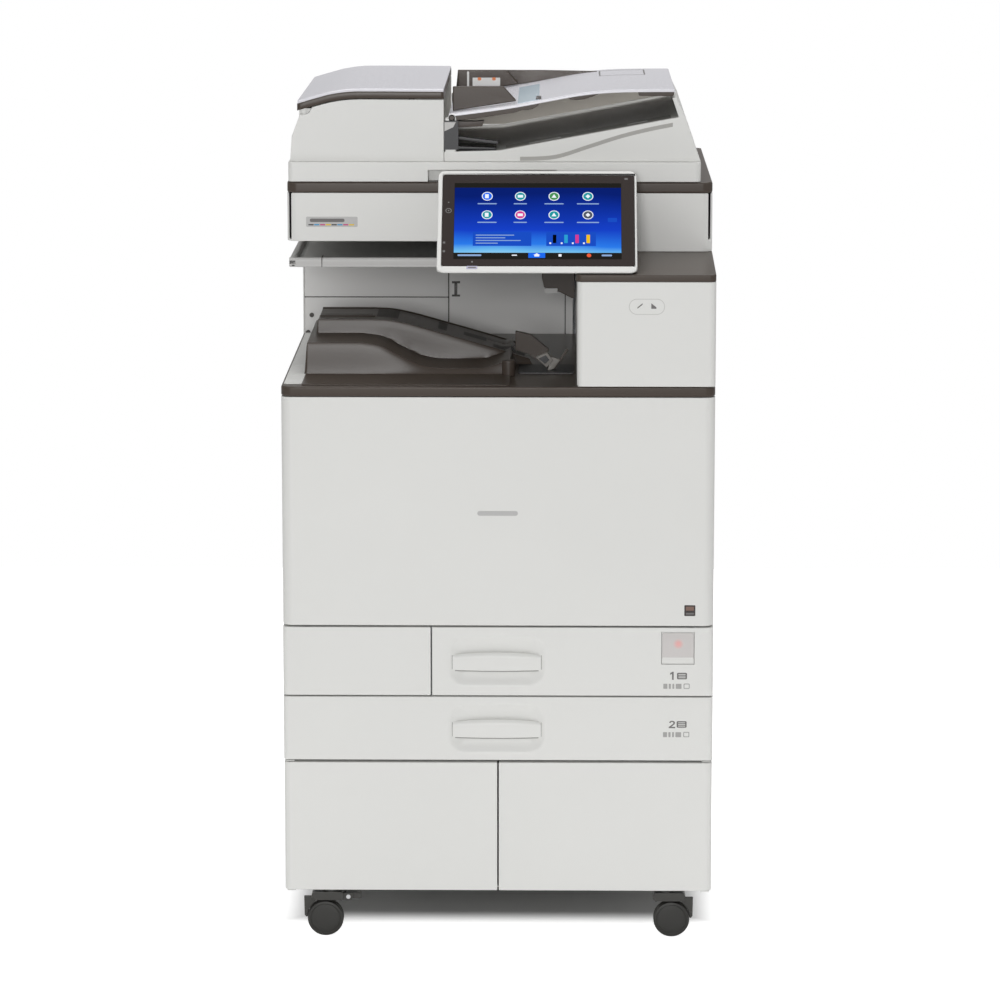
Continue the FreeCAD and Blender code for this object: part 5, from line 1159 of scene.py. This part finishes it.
def laid(*shapes):
    """Joins shapes drawn flat (mm, from the panel's lower left front corner) and turns them into place."""
    bm = assembled(*shapes)
    base = Vector((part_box("panel_housing")[0].x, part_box("front_cover")[0].y + PANEL_BACK * MM,
                   PANEL_FOOT * MM))
    place = Matrix.Translation(base) @ Matrix.Rotation(PANEL_TILT, 4, "X")
    bmesh.ops.transform(bm, matrix=place, verts=bm.verts)
    return bm


KEY_MARKS = (((-3, -3.4), (2, -3.4), (2, 3.4), (-3, 3.4)),
             ((-3.6, -2.2), (3.6, -2.2), (3.6, 2.2), (-3.6, 2.2)), ((-3.4, -2.4), (3.4, -2.4), (0, 3.6)),
             ((-3.2, 0), (0, -3.4), (3.2, 0), (0, 3.4)))


class PHOTOCOPIER_OT_operation_panel(bpy.types.Operator):
    """Builds the tilting panel: white housing, dark bezel, keys, lamps and the lit touch screen"""
    bl_idname = "photocopier.operation_panel"
    bl_label = "Operation panel"
    bl_options = {"REGISTER", "UNDO"}

    def execute(self, context):
        bm = copy_of("panel_housing")
        break_edges(bm, 1.3 * MM, 3)
        piece("panel_housing_shell", bm, "white_panel", "panel", ("panel_housing",))

        def layer(u0, u1, v0, v1, level, radius=0.0, finish=0):
            return slab((u0, v0, level - 0.25), (u1, v1, level), "z", radius, 5), finish

        def disc(u, v, radius, level, finish):
            shape = turned([(0, -0.25), (radius, -0.25), (radius, 0), (0, 0)], (u, v, level), "z", 28)
            return shape, finish

        bezel = [(slab((6.3, 11.3, -3.4), (266.7, 165.7, -0.3), "z", 4.5, 6, 0.4), 0),
                 layer(22.4, 249.0, 22.6, 151, -0.27, 0.8, 1)]
        bezel += [disc(14.7, 104, 4.2, -0.2, 2), disc(14.7, 104, 3.1, -0.15, 0),
                  disc(14.7, 104, 1.1, -0.12, 2)]
        bezel += [layer(7.9, 11, v, v + 3.2, -0.2, 0.6, 2) for v in (48.6, 34.0)]
        bezel += [layer(46.4, 48.8, 16.6, 19.4, -0.2, 0.5, 2), layer(253.6, 258, 157, 160, -0.2, 0.5, 2)]
        bezel += [disc(14.7, 118, 1.0, -0.2, 2)]
        piece("panel_bezel", laid(*bezel), ("bezel_gloss", "screen_black", "print_grey"), "panel",
              ("panel_display",))

        left, right, foot, top = 22.8, 248.6, 33.3, 143.0
        face = field(steps(left, right, 6), steps(foot, top, 6), lambda u, v: (u, v, -0.22))
        facing(face, (0, 0, 1))
        layer_uv = face.loops.layers.uv.new("UVMap")
        for f in face.faces:
            for loop in f.loops:
                u, v = loop.vert.co.x / MM, loop.vert.co.y / MM
                loop[layer_uv].uv = (u - left) / (right - left), (v - foot) / (top - foot)
        piece("panel_screen_picture", laid(face), "screen_picture", "panel", ())

        shapes = [layer(48.2, 127.3, 44.7, 67.8, -0.18, 0, 1), layer(147.4, 214.4, 44.7, 67.8, -0.18, 0, 1),
                  layer(230.5, 243, 85, 92, -0.18, 1, 1), layer(123.3, 146, 24.8, 33, -0.16, 0.5, 6),
                  disc(205, 29.0, 3.0, -0.16, 7), layer(164, 168, 27, 31, -0.16, 0.4, 0),
                  layer(101, 108, 28.2, 30, -0.16, 0.5, 0), layer(28, 60, 27.6, 30.4, -0.16, 1.2, 2),
                  layer(222, 236, 27.6, 30.4, -0.16, 1.2, 2)]
        shapes += [layer(131.5, 138, 27, 29.6, -0.13, 0.4, 0),
                   (prism([(130, 29.4), (139.4, 29.4), (134.7, 32.4)], -0.35, -0.13, "z"), 0)]
        for u, finish in ((158.6, 5), (174, 3), (189, 4), (204, 8)):
            shapes.append(layer(u - 2.4, u + 2.4, 49.5, 63.5, -0.12, 0.6, finish))
            shapes.append(layer(u - 7.0, u - 4.6, 48, 50.6, -0.12, 0.3, 0))
        shapes += [layer(52, 52 + w, v, v + 1.4, -0.12, 0.5, 2) for w,
                   v in ((52, 62), (40, 57.5), (61, 53), (30, 48.5))]
        for index, tint in enumerate((6, 9, 10, 9, 9, 4, 9, 11)):
            u = (67, 112, 157.7, 203.7)[index % 4]
            v = (128.5, 97.0)[index // 4]
            shapes.append(disc(u, v, 7.4, -0.17, 0))
            shapes.append(disc(u, v, 6.2, -0.14, tint))
            outline = [(u + a, v + b) for a, b in KEY_MARKS[index % 4]]
            shapes.append((prism(outline, -0.35, -0.10, "z"), 0))
            half = (13, 9, 13, 15)[index % 4]
            shapes.append(layer(u - half, u + half, v - 13.6, v - 11.8, -0.14, 0.8, 2))
        piece("panel_screen_symbols", laid(*shapes),
              ("lit_white", "lit_box", "lit_pale", "lit_cyan", "lit_pink", "lit_black", "lit_blue", "lit_red",
               "lit_yellow", "lit_teal", "lit_green", "lit_grey"), "panel", ())
        tab = laid(layer(40.2, 55, 5.6, 10.8, 0.15, 1.0), layer(42, 53.2, 7.2, 9.2, 0.25, 0.8, 1))
        piece("panel_lamp_tab", tab, ("lens_lilac", "print_grey"), "panel", ())
        return {"FINISHED"}


FLOOR_HALF = 2.4            # from the middle of the floor to its side (m)
PAINTED_SHADOW_HALF = (0.30, 0.22)  # half the floor under the machine, where the floor's glow is masked off and its colour darkened into a painted shadow (m)
CAMERA_PLACE = (0.08086, -6.11792, 1.63946)
CAMERA_DOWN, CAMERA_LEFT = math.radians(9.984), math.radians(0.7746)
CAMERA_LENS, SENSOR_WIDTH = 155.84, 36  # mm


class PHOTOCOPIER_OT_stage(bpy.types.Operator):
    """Sets the floor with its painted shadow under the machine, the soft lights and the camera"""
    bl_idname = "photocopier.stage"
    bl_label = "Stage"
    bl_options = {"REGISTER", "UNDO"}

    def execute(self, context):
        sizes = context.scene.copier_sizes
        scene = bpy.context.scene
        bm = bmesh.new()
        bmesh.ops.create_grid(bm, x_segments=1, y_segments=1, size=FLOOR_HALF)
        mesh = bpy.data.meshes.new("floor")
        bm.to_mesh(mesh)
        bm.free()
        floor = bpy.data.objects.new("floor", mesh)
        scene.collection.objects.link(floor)
        white, tree, shader = start_material("studio_floor_white_painted_shadow", (0.9, 0.9, 0.9), 0.7,
                                             Emission_Color=(1, 1, 1, 1))
        place = add_node(tree, "ShaderNodeTexCoord").outputs["Object"]
        folded = add_node(tree, "ShaderNodeVectorMath", {"operation": "ABSOLUTE"}, in_0=place)
        shares = add_node(tree, "ShaderNodeVectorMath", {"operation": "MULTIPLY"},
                          in_0=folded.outputs["Vector"])
        shares.inputs[1].default_value = (1 / PAINTED_SHADOW_HALF[0], 1 / PAINTED_SHADOW_HALF[1], 0)
        split = add_node(tree, "ShaderNodeSeparateXYZ", Vector=shares.outputs["Vector"])
        far = add_node(tree, "ShaderNodeMath", {"operation": "MAXIMUM"}, in_0=split.outputs["X"],
                       in_1=split.outputs["Y"])
        glow = add_node(tree, "ShaderNodeMapRange",
                        {"interpolation_type": "SMOOTHSTEP", "From Min": 0.75, "From Max": 1.15,
                         "To Min": 0.0, "To Max": 0.85}, Value=far.outputs["Value"])
        seen = add_node(tree, "ShaderNodeLightPath").outputs["Is Camera Ray"]
        share = add_node(tree, "ShaderNodeMapRange", {"To Min": 0.3, "To Max": 1.0}, Value=seen)
        power = add_node(tree, "ShaderNodeMath", {"operation": "MULTIPLY"}, in_0=glow.outputs["Result"],
                         in_1=share.outputs["Result"])
        tree.links.new(power.outputs["Value"], shader.inputs["Emission Strength"])
        # Painted shadow: under the machine the floor's colour is darkened from 0.9 to 0.3 and its glow masked
        # off, so the shadow there is partly painted.
        painted_shadow_tone = add_node(tree, "ShaderNodeMapRange", {"From Max": 0.85, "To Min": 0.3, "To Max": 0.9},
                         Value=glow.outputs["Result"])
        tree.links.new(painted_shadow_tone.outputs["Result"], shader.inputs["Base Color"])
        mesh.materials.append(white)

        def soft(name, place, aim, side, power):
            lamp = bpy.data.lights.new(name, "AREA")
            lamp.shape, lamp.size, lamp.energy = "SQUARE", side, power
            obj = bpy.data.objects.new(name, lamp)
            obj.location = place
            obj.rotation_euler = (Vector(aim) - Vector(place)).to_track_quat("-Z", "Y").to_euler()
            scene.collection.objects.link(obj)

        side = sizes.key_light
        soft("key", (-2.2, -4.2, 3.2), (0, 0, 0.7), side, 22)
        soft("front", (-0.3, -5.6, 1.6), (0, 0, 0.9), 0.3 * side, 72)
        soft("fill", (3.4, -2.6, 1.8), (0, 0, 0.6), side, 8)
        soft("top", (0.2, 0.6, 3.8), (0, 0, 0.8), side, 75)

        world = bpy.data.worlds.new("studio")
        world.use_nodes = True
        world.node_tree.nodes["Background"].inputs["Color"].default_value = (1, 1, 1, 1)
        tree = world.node_tree
        ray = add_node(tree, "ShaderNodeLightPath").outputs["Is Camera Ray"]
        bright = add_node(tree, "ShaderNodeMapRange", {"To Min": 0.36, "To Max": 1.0}, Value=ray)
        tree.links.new(bright.outputs["Result"], tree.nodes["Background"].inputs["Strength"])
        scene.world = world

        camera = bpy.data.cameras.new("camera")
        camera.lens, camera.sensor_width = CAMERA_LENS, SENSOR_WIDTH
        view = bpy.data.objects.new("camera", camera)
        view.location = CAMERA_PLACE
        view.rotation_euler = (math.radians(90) - CAMERA_DOWN, 0, CAMERA_LEFT)
        scene.collection.objects.link(view)
        scene.camera = view
        scene.view_settings.view_transform = "Standard"
        return {"FINISHED"}


class PHOTOCOPIER_PT_panel(bpy.types.Panel):
    """Lists the build steps in the sidebar"""
    bl_idname = "PHOTOCOPIER_PT_panel"
    bl_label = "Photocopier"
    bl_space_type = "VIEW_3D"
    bl_region_type = "UI"
    bl_category = "Photocopier"

    def draw(self, context):
        for step in STEPS:
            self.layout.operator(step.bl_idname)


STEPS = (PHOTOCOPIER_OT_finishes, PHOTOCOPIER_OT_panels, PHOTOCOPIER_OT_casters, PHOTOCOPIER_OT_tray_fronts,
         PHOTOCOPIER_OT_switch, PHOTOCOPIER_OT_front_cover, PHOTOCOPIER_OT_deck, PHOTOCOPIER_OT_bay,
         PHOTOCOPIER_OT_column, PHOTOCOPIER_OT_scanner, PHOTOCOPIER_OT_feeder_lid,
         PHOTOCOPIER_OT_feed_housing, PHOTOCOPIER_OT_document_tray, PHOTOCOPIER_OT_exit_tray,
         PHOTOCOPIER_OT_platen_pad, PHOTOCOPIER_OT_operation_panel, PHOTOCOPIER_OT_stage)
CLASSES = (CopierSizes, CopierColours, *STEPS, PHOTOCOPIER_PT_panel)


def register():
    for cls in CLASSES:
        bpy.utils.register_class(cls)
    bpy.types.Scene.copier_sizes = PointerProperty(type=CopierSizes)
    bpy.types.Scene.copier_colours = PointerProperty(type=CopierColours)


def unregister():
    del bpy.types.Scene.copier_colours
    del bpy.types.Scene.copier_sizes
    for cls in reversed(CLASSES):
        bpy.utils.unregister_class(cls)


def main():
    register()
    for step in STEPS:
        group, name = step.bl_idname.split(".")
        getattr(getattr(bpy.ops, group), name)()
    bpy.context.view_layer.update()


if __name__ == "__main__":
    main()
